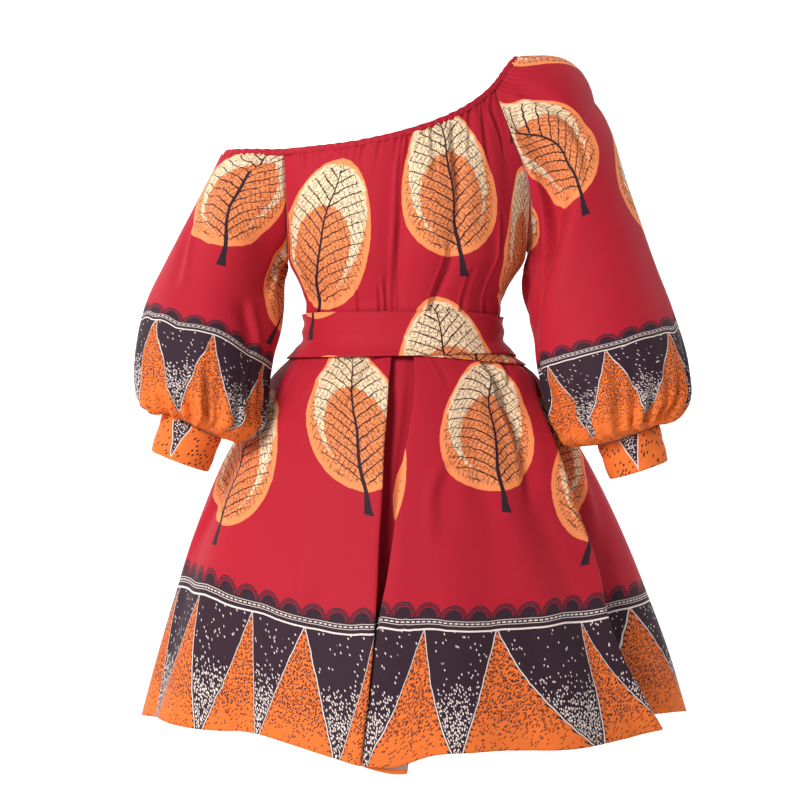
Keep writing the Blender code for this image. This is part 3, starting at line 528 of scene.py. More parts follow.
def surface_out(sheet: Array, closed: bool) -> Array:
    """Finds the unit normals of a sheet of points from its rows and columns.

    Args:
        sheet: Points in rows and columns.
        closed: Whether the columns go right round.

    Returns:
        One outward unit normal for each point.
    """
    across = np.gradient(sheet, axis=1)
    if closed:
        across = (np.roll(sheet, -1, 1) - np.roll(sheet, 1, 1)) / 2
    return unit(np.cross(np.gradient(sheet, axis=0), across))


def uneven_waves(places: Array, count: float, seed: int) -> Array:
    """Makes a row of gathers of uneven width and height.

    A cosine runs at a pace that two slower waves hurry and hold back, and a third wave sets
    its height.

    Args:
        places: Positions along the row, from 0 to 1.
        count: Number of gathers.
        seed: Chooses the unevenness.

    Returns:
        Heights from -1 to 1.
    """
    turn = TURN * places
    pace = count * turn + 2.0 * np.sin(5 * turn + seed) + 1.4 * np.sin(11 * turn + 2.3 * seed)
    size = 0.72 + 0.28 * np.sin(7 * turn + 1.1 * seed)
    return np.cos(pace) * size


def placed(points: Array) -> Array:
    """Turns points in the tables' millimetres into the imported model's metres."""
    return (points - SHOULDER_REST) * MM


def ends_sewn(total: int, count: int) -> Array:
    """Gives 1 to a number of columns at either end of a row, and 0 to the rest."""
    column = np.arange(total)
    return ((column < count) | (column >= total - count)).astype(float)


@dataclass
class Sheet:
    """A sheet of cloth: rows and columns of points, with its maps for print and border.

    Attributes:
        points: Points in rows and columns, in the tables' millimetres.
        closed: Whether the columns go right round an arm or the waist.
        centre: Column whose print runs straight down.
        print_start: Where the print's own map starts, in metres.
        border_lift: Height of the border at the lower edge in metres, or NO_BORDER.
        border_start: Where the border's repeat starts, in metres.
        border_rise: Columns, and how much higher than usual the border's line runs there.
        border_along: Columns, and where each comes in the border's repeat, in metres, or empty
            where it follows the cloth.
        border_scale: How far up the print a step up the cloth goes within the border, so that
            a number over 1 prints the border lower.
    """

    points: Array
    closed: bool
    centre: int
    print_start: tuple[float, float]
    border_lift: float = NO_BORDER
    border_start: float = 0.0
    border_rise: tuple = ((0.0, 0.0), (1.0, 0.0))
    border_along: tuple = ()
    border_scale: float = 1.0

    def wrapped(self) -> Array:
        """Returns the points with the first column again at the end of a closed sheet."""
        again = self.points[:, :1 if self.closed else 0]
        return np.concatenate([self.points, again], axis=1)

    def maps(self) -> tuple[Array, Array]:
        """Works out both maps from lengths along the cloth.

        Returns:
            The print's map, across from the centre column, and the border's map, along the
            fullest row. Both run up from the lower edge.
        """
        grid = self.wrapped() * MM
        across, down = lengths_along(grid, 1), lengths_along(grid)
        fullest = across[np.argmax(across[:, -1])] + self.border_start
        u = across - across[:, self.centre:self.centre + 1]
        up = down[-1:] - down
        for _ in range(2):
            wide = np.pad(up, ((0, 0), (MAP_REACH, MAP_REACH)),
                          mode="wrap" if self.closed else "edge")
            sums = np.cumsum(np.pad(wide, ((0, 0), (1, 0))), axis=1)
            window = 2 * MAP_REACH + 1
            up = (sums[:, window:] - sums[:, :-window]) / window
        prints = np.stack([self.print_start[0] + u, self.print_start[1] + up], -1)
        columns = np.arange(up.shape[1])
        if self.border_along:
            fullest = smooth(*np.array(self.border_along).T, columns)
        line = Border.line
        rise = np.interp(columns, *np.array(self.border_rise).T) * MM
        up = up * line / (line + rise)
        height = up + np.minimum(up, BORDER_REACH) * (self.border_scale - 1) + self.border_lift
        borders = np.stack([fullest[None] + 0 * up, height], -1)
        return prints, borders

    def cut(self) -> tuple[tuple[float, float], float]:
        """Measures the flat cloth.

        Returns:
            Width and length in metres, and the area in square metres.
        """
        grid = self.wrapped() * MM
        width = np.linalg.norm(np.diff(grid, axis=1), axis=-1).sum(axis=1).max()
        length = np.linalg.norm(np.diff(grid, axis=0), axis=-1).sum(axis=0).max()
        a = grid[1:, 1:] - grid[:-1, :-1]
        b = grid[1:, :-1] - grid[:-1, 1:]
        area = np.linalg.norm(np.cross(a, b), axis=-1).sum() / 2
        return (float(width), float(length)), float(area)


def quads(values: Array) -> Array:
    """Gathers the values at the four corners of each cell of a grid."""
    return np.stack([values[:-1, :-1], values[1:, :-1], values[1:, 1:], values[:-1, 1:]], axis=2)


def added(name: str, data: bpy.types.ID) -> bpy.types.Object:
    """Adds an object to the scene.

    Args:
        name: Name of the object.
        data: Its mesh, lamp or camera.

    Returns:
        The object.
    """
    piece = bpy.data.objects.new(name, data)
    bpy.context.scene.collection.objects.link(piece)
    return piece


def new_mesh(name: str, points: Array, faces: Array,
             finishes: tuple[bpy.types.Material, ...]) -> bpy.types.Mesh:
    """Makes a smooth mesh.

    Args:
        name: Name of the mesh.
        points: Points in metres, in any shape that ends in 3.
        faces: Indices of the points, one row for each face in its last axis.
        finishes: Its materials.

    Returns:
        The mesh.
    """
    mesh = bpy.data.meshes.new(name)
    corners = faces.reshape(-1, faces.shape[-1])
    mesh.from_pydata(points.reshape(-1, 3).tolist(), [], corners.tolist())
    mesh.shade_smooth()
    for finish in finishes:
        mesh.materials.append(finish)
    return mesh


def cloth_object(name: str, sheet: Sheet, outer: bpy.types.Material,
                 inner: bpy.types.Material, thickness: float = CLOTH) -> bpy.types.Object:
    """Makes a thin shell from a sheet, with its outer and inner finish.

    Args:
        name: Name of the object.
        sheet: The sheet of points.
        outer: Finish of the printed side.
        inner: Finish of the reverse.
        thickness: Thickness of the cloth in millimetres, or 0 for a tube whose last row is its
            first.

    Returns:
        The object, with its wall on the inner side.
    """
    rows, columns = sheet.points.shape[:2]
    index = np.arange(rows * columns).reshape(rows, columns)
    points = placed(sheet.points).reshape(-1, 3)
    if thickness == 0:
        index[-1] = index[0]
        points = points[:-columns]
    if sheet.closed:
        index = np.concatenate([index, index[:, :1]], axis=1)
    mesh = new_mesh(name, points, quads(index), (outer, inner))
    for layer, values in zip(("print", "border"), sheet.maps()):
        corners = quads(values).astype(np.float32).ravel()
        mesh.uv_layers.new(name=layer).data.foreach_set("uv", corners)
    piece = added(name, mesh)
    if thickness == 0:
        return piece
    wall = piece.modifiers.new("cloth", "SOLIDIFY")
    wall.thickness = thickness * MM
    wall.offset = -1.0
    wall.material_offset = 1
    wall.material_offset_rim = 0
    return piece


def seamed(points: Array, closed: bool, sides: bool, top: Array | float = 0.0,
           bottom: float = 0.0, outward: float = 1.0) -> Array:
    """Rolls the cloth in along its seams and draws its edges back by half a seam gap.

    The dip fades evenly with the distance from the seam, and small puckers run along it.

    Args:
        points: Points in rows and columns.
        closed: Whether the columns go right round.
        sides: Whether the first and last columns are sewn.
        top: Share of the dip along the upper edge, one number or one for each column.
        bottom: Share of the dip along the lower edge.
        outward: 1 where the sheet's normals point out, and -1 where they point in.

    Returns:
        The changed points.
    """
    out = surface_out(points, closed) * outward
    from_top = lengths_along(points)
    from_bottom = from_top[-1:] - from_top
    dip = top * np.exp(-from_top / SEAM_REACH) + bottom * np.exp(-from_bottom / SEAM_REACH)
    if sides:
        left = lengths_along(points, 1)
        right = left[:, -1:] - left
        pucker = 1 + 0.35 * np.sin(from_top / 3.1) * np.sin(from_top / 7.7)
        dip = dip + (np.exp(-left / SEAM_REACH) + np.exp(-right / SEAM_REACH)) * pucker
    moved = points - out * (SEAM_DIP * dip)[..., None]
    edges = [(moved[0], moved[1]), (moved[-1], moved[-2])]
    if not closed:
        edges += [(moved[:, 0], moved[:, 1]), (moved[:, -1], moved[:, -2])]
    for edge, beside in edges:
        edge += unit(beside - edge) * SEAM_GAP / 2
    return moved


def neck_gathers(points: Array, first: int, count: int, closed: bool, number: float,
                 seed: int, outward: float = 1.0) -> Array:
    """Raises uneven gathers below the casing, each running down its own length.

    Args:
        points: Points in rows and columns.
        first: First column under the casing.
        count: Number of columns there.
        closed: Whether the columns go right round.
        number: Number of gathers.
        seed: Chooses their unevenness.
        outward: 1 where the sheet's normals point out, and -1 where they point in.

    Returns:
        The changed points.
    """
    share = (np.arange(points.shape[1]) - first) / count
    inside = np.clip(np.minimum(share, 1 - share) * 14, 0, 1) * ((share >= 0) & (share <= 1))
    wave = uneven_waves(share, number, seed) * inside
    run = 26.0 + 15.0 * np.sin(9.0 * share * TURN + seed) + 8.0 * np.sin(31.0 * share + seed)
    reach = np.linalg.norm(points - points[:1], axis=-1) / run
    fade = np.clip(1 - reach / 1.6, 0, 1) ** 1.4
    out = surface_out(points, closed) * outward
    return points + out * (GATHER_DEPTH * fade * wave)[..., None]


class Side(Enum):
    """Front or back half of the dress."""

    FRONT = "front"
    BACK = "back"


class Shoulder(Enum):
    """The bare shoulder on the wearer's right, or the covered one on the left."""

    BARE = "bare"
    COVERED = "covered"


@dataclass
class Bodice:
    """Front or back of the bodice, from the neck and the armholes to the waist seam.

    Attributes:
        side: Which half it is.
        armhole_columns: Columns along half an armhole.
        neck_columns: Columns under the neck casing.
        rows: Rows from top to bottom.
    """

    side: Side
    armhole_columns: int = 42
    neck_columns: int = 176
    rows: int = 100

    def sheet(self) -> Sheet:
        """Works out the sheet of points.

        The form's rings are pulled towards the neck and armhole edges at the top. Folds and
        creases are laid on, and they fade under the seams.

        Returns:
            The sheet.
        """
        count = self.armhole_columns
        if self.side is Side.FRONT:
            halves = (stretch(BARE_ARMHOLE, 0, ARMPIT, count)[::-1],
                      neck_stretch(BARE_FRONT, COVERED_FRONT, self.neck_columns),
                      stretch(COVERED_ARMHOLE, 0, ARMPIT, count))
            marks = (-90.0, -66.0, 50.0, 90.0)
            folds, creases, gathers = FRONT_BODICE_FOLDS, FRONT_BODICE_CREASES, 27.0
            print_start = (0.344, 0.175)
        else:
            last = len(BARE_ARMHOLE) - 1
            halves = (stretch(COVERED_ARMHOLE, ARMPIT, last, count),
                      neck_stretch(COVERED_BACK, BARE_BACK, self.neck_columns),
                      stretch(BARE_ARMHOLE, ARMPIT, last, count)[::-1])
            marks = (90.0, 130.0, 246.0, 270.0)
            folds, creases, gathers = BACK_BODICE_FOLDS, BACK_BODICE_CREASES, 24.0
            print_start = (0.172, 0.16)
        edge = np.concatenate([halves[0], halves[1][1:-1], halves[2]])
        stops = (0, count, count + self.neck_columns, len(edge) - 1)
        azimuth = np.interp(np.arange(len(edge)), stops, marks)[None, :]
        down = np.linspace(0, 1, self.rows + 1)[:, None]
        height = edge[:, 2] * (1 - down) + WAIST * down
        points, out = form(TORSO, height, azimuth + 0 * height)
        at_edge, _ = form(TORSO, edge[:, 2], azimuth[0])
        points = points + (1 - down[..., None]) ** 1.7 * (edge - at_edge)
        middle = np.sin(np.pi * np.clip(down * 1.05, 0, 1)) ** 0.5
        drop = np.clip((edge[:, 2] - WAIST) / 200.0, 0, 1)
        rise = fold_rise(folds, azimuth, down) * middle * drop
        sides = np.sin(np.pi * (azimuth - marks[0]) / 180.0) ** 0.3
        rise = rise + crease_rise(creases, azimuth, down) * sides
        around = np.abs(np.sin(np.radians(azimuth))) ** 6
        shirring = 0.9 * np.cos((height + 346.0) * TURN / 21.0)
        rise = rise + shirring * around * np.clip((-290.0 - height) / 30.0, 0, 1) * sides
        points = points + out * rise[..., None]
        points = neck_gathers(points, count, self.neck_columns, False, gathers, 3)
        points = seamed(points, False, True, top=ends_sewn(len(edge), count))
        return Sheet(points, False, len(edge) // 2, print_start)


def skirt_down(rows: int) -> Array:
    """Spaces a skirt's rows, as shares of the way down."""
    return np.linspace(0, 1, rows + 1) ** ROW_SPACING


def hung(hem: tuple, folds: tuple, creases: tuple, azimuth: Array, down: Array,
         drop: Array | float = 0.0) -> tuple[Array, ...]:
    """Hangs a half of the skirt on its form.

    Folds start below the sash. Folds and creases fade towards the side seams.

    Args:
        hem: Azimuths and heights of the hem from one side seam to the other.
        folds: Its soft folds.
        creases: Its creases.
        azimuth: Azimuths of the points.
        down: Their share of the way down.
        drop: How much lower than the hem's table each column ends.

    Returns:
        The form's points, the directions out of it, the rise of the folds and creases, and how
        freely the cloth hangs, from 0 under the sash to 1.
    """
    knots, heights = np.array(hem).T
    height = WAIST + (smooth(knots, heights, azimuth) - drop - WAIST) * down
    points, out = form(SKIRT, height, azimuth)
    free = np.clip((SASH_FOOT - height) / 60.0, 0, 1)
    rise = fold_rise(folds, azimuth, down) * free
    rise = rise + crease_rise(creases, azimuth, down)
    fade = np.sin(np.pi * np.clip((azimuth - knots[0]) / 180.0, 0, 1)) ** 0.25
    return points, out, rise * fade, free


@dataclass
class SkirtFront:
    """Front of the skirt, with an inverted pleat and a side fold that lie over themselves.

    Attributes:
        rows: Rows from the waist seam to the hem.
    """

    rows: int = 120

    def edge(self, line: Line, down: Array) -> Array:
        """Reads the azimuth of a fold's edge at each row's share of the way down."""
        table = {Line.LEFT: PLEAT_LEFT, Line.RIGHT: PLEAT_RIGHT, Line.SIDE: SIDE_FOLD}[line]
        return smooth(*np.array(table).T, down)

    def columns(self, down: Array) -> tuple[Array, Array, Array]:
        """Lays the plan's stations out over the rows.

        A station's distance from its line is in millimetres of the form's surface, so a fold
        hides the same width of cloth at every height.

        Args:
            down: Share of the way down of each row.

        Returns:
            Azimuth, distance out and drop at the hem, in rows and columns.
        """
        height = WAIST + (HEM - WAIST) * down
        azimuths, outs, drops = [], [], []
        for station in SKIRT_FRONT_PLAN:
            if station.line is Line.EVEN:
                azimuth = station.along + 0 * down
            elif station.line is Line.MIDDLE:
                azimuth = (self.edge(Line.LEFT, down) + self.edge(Line.RIGHT, down)) / 2
            elif station.line is Line.REST:
                edge = self.edge(Line.SIDE, down)
                azimuth = edge + station.along * (90.0 - edge)
            else:
                edge = self.edge(station.line, down)
                before, _ = form(SKIRT, height, edge - 1.0)
                after, _ = form(SKIRT, height, edge + 1.0)
                pace = np.linalg.norm(after - before, axis=-1) / 2.0
                azimuth = edge + station.along / pace
            azimuths.append(azimuth)
            outs.append(station.out_top + (station.out_hem - station.out_top) * down)
            drops.append(station.drop + 0 * down)
        knots = np.cumsum([station.columns for station in SKIRT_FRONT_PLAN])
        places = np.arange(knots[-1] + 1)
        values = np.stack([azimuths, outs, drops], -1)
        track = smooth(knots, values, places, steady=True)
        return track[..., 0].T, track[..., 1].T, track[..., 2].T

    def sheet(self) -> Sheet:
        """Works out the sheet of points.

        Returns:
            The sheet.
        """
        down = skirt_down(self.rows)
        azimuth, out_by, drop = self.columns(down)
        down = down[:, None] + 0 * azimuth
        points, out, rise, free = hung(FRONT_HEM, FRONT_SKIRT_FOLDS, FRONT_SKIRT_CREASES,
                                       azimuth, down, drop)
        points = points + out * (rise + out_by * (0.5 + 0.5 * free))[..., None]
        points = seamed(points, False, True)
        centre = sum(station.columns for station in SKIRT_FRONT_PLAN[:PLEAT_STATION])
        return Sheet(points, False, centre, (0.126, -0.05), 0.0, 0.0, FRONT_BORDER_RISE,
                     FRONT_BORDER_ALONG)


@dataclass
class SkirtBack:
    """Back of the skirt.

    Attributes:
        rows: Rows from the waist seam to the hem.
        columns: Columns from one side seam to the other.
    """

    rows: int = 110
    columns: int = 260

    def sheet(self) -> Sheet:
        """Works out the sheet of points.

        Returns:
            The sheet.
        """
        down = skirt_down(self.rows)[:, None]
        azimuth = np.linspace(90.0, 270.0, self.columns + 1)[None] + 0 * down
        down = down + 0 * azimuth
        points, out, rise, _ = hung(BACK_HEM, BACK_SKIRT_FOLDS, BACK_SKIRT_CREASES, azimuth, down)
        points = seamed(points + out * rise[..., None], False, True)
        return Sheet(points, False, self.columns // 2, (0.05, -0.05), 0.0, 0.02, BACK_BORDER_RISE)


def sleeve_ring(ring: SleeveRing, angle: Array) -> Array:
    """Finds points round one sleeve ring, an ellipse through its inner and outer points.

    Args:
        ring: The ring.
        angle: Angles in degrees, from the inner line over the front.

    Returns:
        One point for each angle.
    """
    inner = np.array([ring.inner_x, ring.y, ring.inner_z])
    outer = np.array([ring.outer_x, ring.y, ring.outer_z])
    centre, half = (inner + outer) / 2, (inner - outer) / 2
    depth = np.array([0.0, -ring.half_depth, 0.0])
    angle = np.radians(angle)[:, None]
    return centre + half * np.cos(angle) + depth * np.sin(angle)


class SleeveShape(NamedTuple):
    """What sets one sleeve apart from the other."""

    armhole: tuple
    rings: tuple
    cuff_end: SleeveRing
    folds: tuple
    creases: tuple
    opened: float       # angle from the inner line to the end of the armhole, in degrees
    outward: float      # 1 where the sheet's normals point out, and -1 where they point in
    gather_seed: int    # chooses the unevenness of the gathers at the cuff
    puff_seed: int      # and of the broad folds that they run out into
    centre: int         # column whose print runs straight down, from the end if under 0
    print_start: tuple[float, float]
    border_start: float
    border_rise: tuple


SLEEVES = {
    Shoulder.BARE: SleeveShape(
        BARE_ARMHOLE, BARE_SLEEVE, BARE_CUFF_END, BARE_SLEEVE_FOLDS, BARE_SLEEVE_CREASES,
        opened=112.0, outward=-1.0, gather_seed=2, puff_seed=4, centre=-60,
        print_start=(0.06, 0.015), border_start=0.052, border_rise=BARE_BORDER_RISE),
    Shoulder.COVERED: SleeveShape(
        COVERED_ARMHOLE, COVERED_SLEEVE, COVERED_CUFF_END, COVERED_SLEEVE_FOLDS,
        COVERED_SLEEVE_CREASES, opened=124.0, outward=1.0, gather_seed=5, puff_seed=1, centre=96,
        print_start=(0.222, -0.065), border_start=0.067, border_rise=COVERED_BORDER_RISE),
}


@dataclass
class Sleeve:
    """A balloon sleeve with gathers at the neck and at the cuff, and its cuff.

    Attributes:
        shoulder: Which sleeve it is.
        armhole_columns: Columns along half an armhole.
        neck_columns: Columns under the neck casing.
        rows: Rows from the armhole to the cuff.
        cuff_columns: Columns round the cuff.
        cuff_rows: Rows of the cuff.
        cuff_length: Length of the cuff in millimetres.
        cuff_gathers: Number of gathers at the cuff.
        gather_height: Height of a gather.
        puff_height: Height of a broad fold above them.
        shoulder_puff: Height of the puff over the top of the covered sleeve's outer line.
        border_lift: Height of the border at the cuff's seam, in metres.
        border_scale: How far up the border's print a step up the cloth goes.
    """

    shoulder: Shoulder
    armhole_columns: int = 40
    neck_columns: int = 128
    rows: int = 130
    cuff_columns: int = 150
    cuff_rows: int = 30
    cuff_length: float = 55.0
    cuff_gathers: float = 19.0
    gather_height: float = 6.8
    puff_height: float = 12.0
    shoulder_puff: float = 25.0
    border_lift: float = -0.051
    border_scale: float = 1.4

    @property
    def bare(self) -> bool:
        """Whether it is the sleeve of the bare shoulder."""
        return self.shoulder is Shoulder.BARE

    @property
    def shape(self) -> SleeveShape:
        """What sets it apart from the other sleeve."""
        return SLEEVES[self.shoulder]

    def edge(self) -> tuple[Array, Array]:
        """Finds the closed upper edge and the angle that each of its points takes.

        Returns:
            The points, and their angles round the sleeve in degrees.
        """
        armhole, opened = self.shape.armhole, self.shape.opened
        if self.bare:
            neck = neck_stretch(BARE_BACK, len(NECK_LOOP), self.neck_columns)[::-1]
        else:
            neck = neck_stretch(COVERED_FRONT, COVERED_BACK, self.neck_columns)
        count = self.armhole_columns
        front = stretch(armhole, 0, ARMPIT, count)[::-1]
        back = stretch(armhole, ARMPIT, len(armhole) - 1, count)[::-1]
        edge = np.concatenate([front, neck[1:-1], back])[:-1]
        stops = (0, count, count + self.neck_columns, len(edge))
        angle = np.interp(np.arange(len(edge)), stops, (0.0, opened, 360.0 - opened, 360.0))
        return edge, angle

    def cuff_rise(self, turn: Array, down: Array) -> Array:
        """Works out the gathers above the cuff, which swell upwards and run out into broad folds.

        Args:
            turn: Share of the way round of each column.
            down: Share of the way down of each row.

        Returns:
            The rise in millimetres.
        """
        sewn = np.clip((1 - down) / 0.035, 0, 1) ** 0.6
        wave = uneven_waves(turn, self.cuff_gathers, self.shape.gather_seed)
        length = 0.20 + 0.07 * np.sin(3 * TURN * turn + 1.0) + 0.05 * np.sin(8 * TURN * turn + 2.0)
        low = np.clip((down - 1 + length) / length, 0, 1) ** 1.3
        rise = (wave - 0.1) * self.gather_height * low * sewn + 2.0 * low * sewn
        broad = np.minimum(uneven_waves(turn, 9.0, self.shape.puff_seed), 0.35)
        reach = 0.27 + 0.08 * np.sin(4 * TURN * turn + 2.0)
        low = np.sin(0.5 * np.pi * np.clip((down - 1 + reach) / reach, 0, 1)) ** 2
        return rise + broad * self.puff_height * low * sewn

    def sheet(self) -> Sheet:
        """Works out the sheet of points.

        Folds and creases fade at both ends. The gathers swell over the lowest third and close
        again at the cuff's seam.

        Returns:
            The sheet.
        """
        edge, angle = self.edge()
        loops = np.array([edge] + [sleeve_ring(ring, angle) for ring in self.shape.rings])
        knots = lengths_along(loops.mean(axis=1))
        down = np.linspace(0, 1, self.rows + 1)
        points = smooth(knots / knots[-1], loops, down)
        outward = self.shape.outward
        out = surface_out(points, True) * outward
        down, angle = down[:, None], angle[None]
        turned = (angle + 90.0) % 360.0 - 90.0
        rise = fold_rise(self.shape.folds, turned, down) * np.sin(np.pi * down) ** 0.7
        rise = rise + crease_rise(self.shape.creases, turned, down)
        if not self.bare:
            along = np.sin(np.pi * np.clip(down / 0.19, 0, 1))
            rise = rise + self.shoulder_puff * along * bell(angle - 180.0, 55.0)
        rise = rise + self.cuff_rise(angle / 360.0, down)
        points = points + out * rise[..., None]
        count = self.armhole_columns
        points = neck_gathers(points, count, self.neck_columns, True, 21.0, 7, outward)
        points = seamed(points, True, False, top=ends_sewn(angle.size, count), bottom=0.8,
                        outward=outward)
        armpit = np.array(self.shape.armhole[ARMPIT])
        near = np.exp(-np.linalg.norm(points - armpit, axis=-1) / 20.0)
        points[..., 0] += np.sign(armpit[0]) * 0.8 * near
        if self.bare:
            points = points[:, ::-1]
        return Sheet(points, True, self.shape.centre % angle.size, self.shape.print_start,
                     self.border_lift, self.shape.border_start, self.shape.border_rise,
                     border_scale=self.border_scale)

    def cuff(self) -> Sheet:
        """Works out the cuff, a short tube that goes on from the sleeve's last ring.

        Its rows run evenly to the open end's ring, with low waves round it and a rolled edge.

        Returns:
            The sheet.
        """
        angle = np.linspace(0, 360, self.cuff_columns, endpoint=False)
        top = sleeve_ring(self.shape.rings[-1], angle)
        end = sleeve_ring(self.shape.cuff_end, angle)
        down = np.linspace(0, 1, self.cuff_rows + 1)[:, None, None]
        points = top * (1 - down) + end * down
        out = surface_out(points, True) * self.shape.outward
        turn = np.radians(angle)[None]
        along = down[..., 0]
        rise = 0.5 * np.sin(5 * turn + 2.0 * along) + 0.35 * np.sin(9 * turn + 1.0 - 3.0 * along)
        rise = rise + 0.9 * np.cos(along * 9.0 + 2.0 * turn) * np.sin(np.pi * along)
        roll = np.exp(-(1 - along) * self.cuff_length / 1.2)
        points = points + out * (rise * 0.7 - 0.7 * roll)[..., None]
        points = seamed(points, True, False, top=0.8, outward=self.shape.outward)
        if self.bare:
            points = points[:, ::-1]
        return Sheet(points, True, 0, (0.0, 0.0), 0.0, 0.0)


@dataclass
class Sash:
    """The sash round the waist: its outer turn, and the end of the turn below it.

    Attributes:
        top: Height of the outer turn's upper edge.
        bottom: Height of its lower edge.
        tail_top: Height of the inner turn's upper edge, under the outer turn.
        tail_bottom: Height of its lower edge where it goes under.
        tail_drop: How much lower that edge hangs at most.
        tail_start: Azimuth at which the inner turn starts, in degrees.
        tail_end: Azimuth at which it ends.
    """

    top: float = -350.0
    bottom: float = -408.0
    tail_top: float = -372.0
    tail_bottom: float = -404.0
    tail_drop: float = 13.0
    tail_start: float = -12.0
    tail_end: float = 140.0

    def turn(self, azimuth: Array, top: Array, bottom: Array, offsets: tuple, rows: int) -> Array:
        """Lays a band round the waist, held out from the dress by its offsets.

        Low waves run along it, higher at the sides, and both edges roll in.

        Args:
            azimuth: Azimuth of each column.
            top: Height of the upper edge at each column.
            bottom: Height of the lower edge at each column.
            offsets: Distance out from the dress, evenly from the upper to the lower edge.
            rows: Number of rows.

        Returns:
            Points in rows and columns.
        """
        share = np.linspace(0, 1, rows + 1)[:, None]
        height = top * (1 - share) + bottom * share
        azimuth = azimuth[None] + 0 * height
        offset = np.interp(share, np.linspace(0, 1, len(offsets)), offsets)
        upper, upper_out = form(TORSO, np.maximum(height, WAIST), azimuth)
        lower, lower_out = form(SKIRT, np.minimum(height, WAIST), azimuth)
        above = (height > WAIST)[..., None]
        out = np.where(above, upper_out, lower_out)
        side = np.abs(np.sin(np.radians(azimuth))) ** 8
        wave = 1.3 * np.cos((height + 351.0) * TURN / 22.0) * side
        slack = 0.5 * np.sin(np.radians(azimuth * 3.0) + height / 16.0)
        rolled = np.exp(-share * 40.0) + np.exp(-(1 - share) * 40.0)
        rise = offset + wave + slack * np.sin(np.pi * share) - 0.7 * rolled
        return np.where(above, upper, lower) + out * rise[..., None]

    def outer(self) -> Sheet:
        """Works out the outer turn, a closed band.

        Returns:
            The sheet.
        """
        azimuth = np.linspace(-180.0, 180.0, 320, endpoint=False)
        climb = 5.0 * bell(azimuth - 55.0, 45.0)
        dip = 4.0 * bell(azimuth - 78.0, 32.0)
        points = self.turn(azimuth, self.top - dip, self.bottom + climb, (5.0, 5.2, 6.8, 7.8), 28)
        return Sheet(points, True, 160, (0.026, 0.150))

    def tail(self) -> Sheet:
        """Works out the end of the inner turn, which slips out below the outer one.

        Returns:
            The sheet.
        """
        azimuth = np.linspace(self.tail_start, self.tail_end, 150)
        share = np.clip((azimuth - self.tail_start) / 190.0, 0, 1)
        drop = self.tail_drop * np.sin(np.pi * share) ** 1.2
        points = self.turn(azimuth, self.tail_top + 0 * azimuth, self.tail_bottom - drop,
                           (2.4, 2.4, 3.0, 3.5, 3.9), 20)
        return Sheet(points, False, 0, (-0.04, 0.11))


@dataclass
class Casing:
    """The elastic casing: a flat gathered tube on the upper edges round the neck.

    Attributes:
        half_height: Half the tube's height.
        half_thickness: Half its thickness.
        overlap: How far it reaches over the edges that it is sewn to.
        sides: Points round the tube.
        length_columns: Points along it.
        evened: How often its line is evened out.
        gathers: Number of gathers round it.
    """

    half_height: float = 4.2
    half_thickness: float = 1.9
    overlap: float = 2.2
    sides: int = 14
    length_columns: int = 900
    evened: int = 44
    gathers: float = 96.0

    def centre_line(self, sheets: dict[str, Sheet]) -> tuple[Array, Array, Array]:
        """Finds the tube's middle and its directions from the sheets that it is sewn to.

        Args:
            sheets: The bodice halves and the sleeves.

        Returns:
            Points of the middle, upward and outward unit directions.
        """
        bodice, sleeve = Bodice(Side.FRONT), Sleeve(Shoulder.BARE)
        stretches = (
            ("bodice_front", bodice.armhole_columns, bodice.neck_columns, 22),
            ("sleeve_covered", sleeve.armhole_columns, sleeve.neck_columns, 18),
            ("bodice_back", bodice.armhole_columns, bodice.neck_columns, 22),
            ("sleeve_bare", sleeve.armhole_columns - 1, sleeve.neck_columns, 18),
        )
        lower, below = [], []
        for name, first, count, row in stretches:
            under = sheets[name].points[:, first:first + count:2]
            lower.append(under[0])
            below.append(under[row])
        lower = np.concatenate(lower)
        up = unit(lower - np.concatenate(below))
        for _ in range(self.evened):
            up, lower = ((np.roll(line, 1, 0) + 2 * line + np.roll(line, -1, 0)) / 4
                         for line in (up, lower))
        up, lower = (np.concatenate([line, line[:1]]) for line in (up, lower))
        knots = lengths_along(lower)
        places = np.linspace(0, knots[-1], self.length_columns, endpoint=False)
        lower, up = smooth(knots, lower, places), smooth(knots, up, places)
        along = unit(np.roll(lower, -1, 0) - np.roll(lower, 1, 0))
        out = unit(np.cross(along, up))
        up = np.cross(out, along)
        return lower + up * (self.half_height - self.overlap), up, out

    def sheet(self, sheets: dict[str, Sheet]) -> Sheet:
        """Works out the tube, an oval carried round its line, with uneven waves for gathers.

        Args:
            sheets: The bodice halves and the sleeves.

        Returns:
            The tube as a closed sheet whose last row meets its first.
        """
        centre, up, out = self.centre_line(sheets)
        share = np.arange(len(centre)) / len(centre)
        wave = uneven_waves(share, self.gathers, 4)[:, None]
        edge = uneven_waves(share, 61.0, 9)[:, None]
        turn = (np.linspace(0, TURN, self.sides, endpoint=False) + 0.2)[:, None, None]
        high, wide = power(np.cos(turn), 0.8), power(np.sin(turn), 0.6)
        points = (centre + up * (self.half_height + 0.45 * edge) * high
                  + out * (self.half_thickness + 0.65 * wave) * wide)
        return Sheet(np.concatenate([points, points[:1]]), True, 0, (0.04, 0.26))


Colour = tuple[float, float, float, float]


def linear(red: int, green: int, blue: int) -> Colour:
    """Turns a colour as seen on a screen into the shaders' linear colour.

    Args:
        red: Its red, from 0 to 255.
        green: Its green.
        blue: Its blue.

    Returns:
        The linear colour, opaque.
    """
    def channel(value: float) -> float:
        """Turns one channel into linear light."""
        value /= 255.0
        return value / 12.92 if value <= 0.04045 else ((value + 0.055) / 1.055) ** 2.4
    return channel(red), channel(green), channel(blue), 1.0


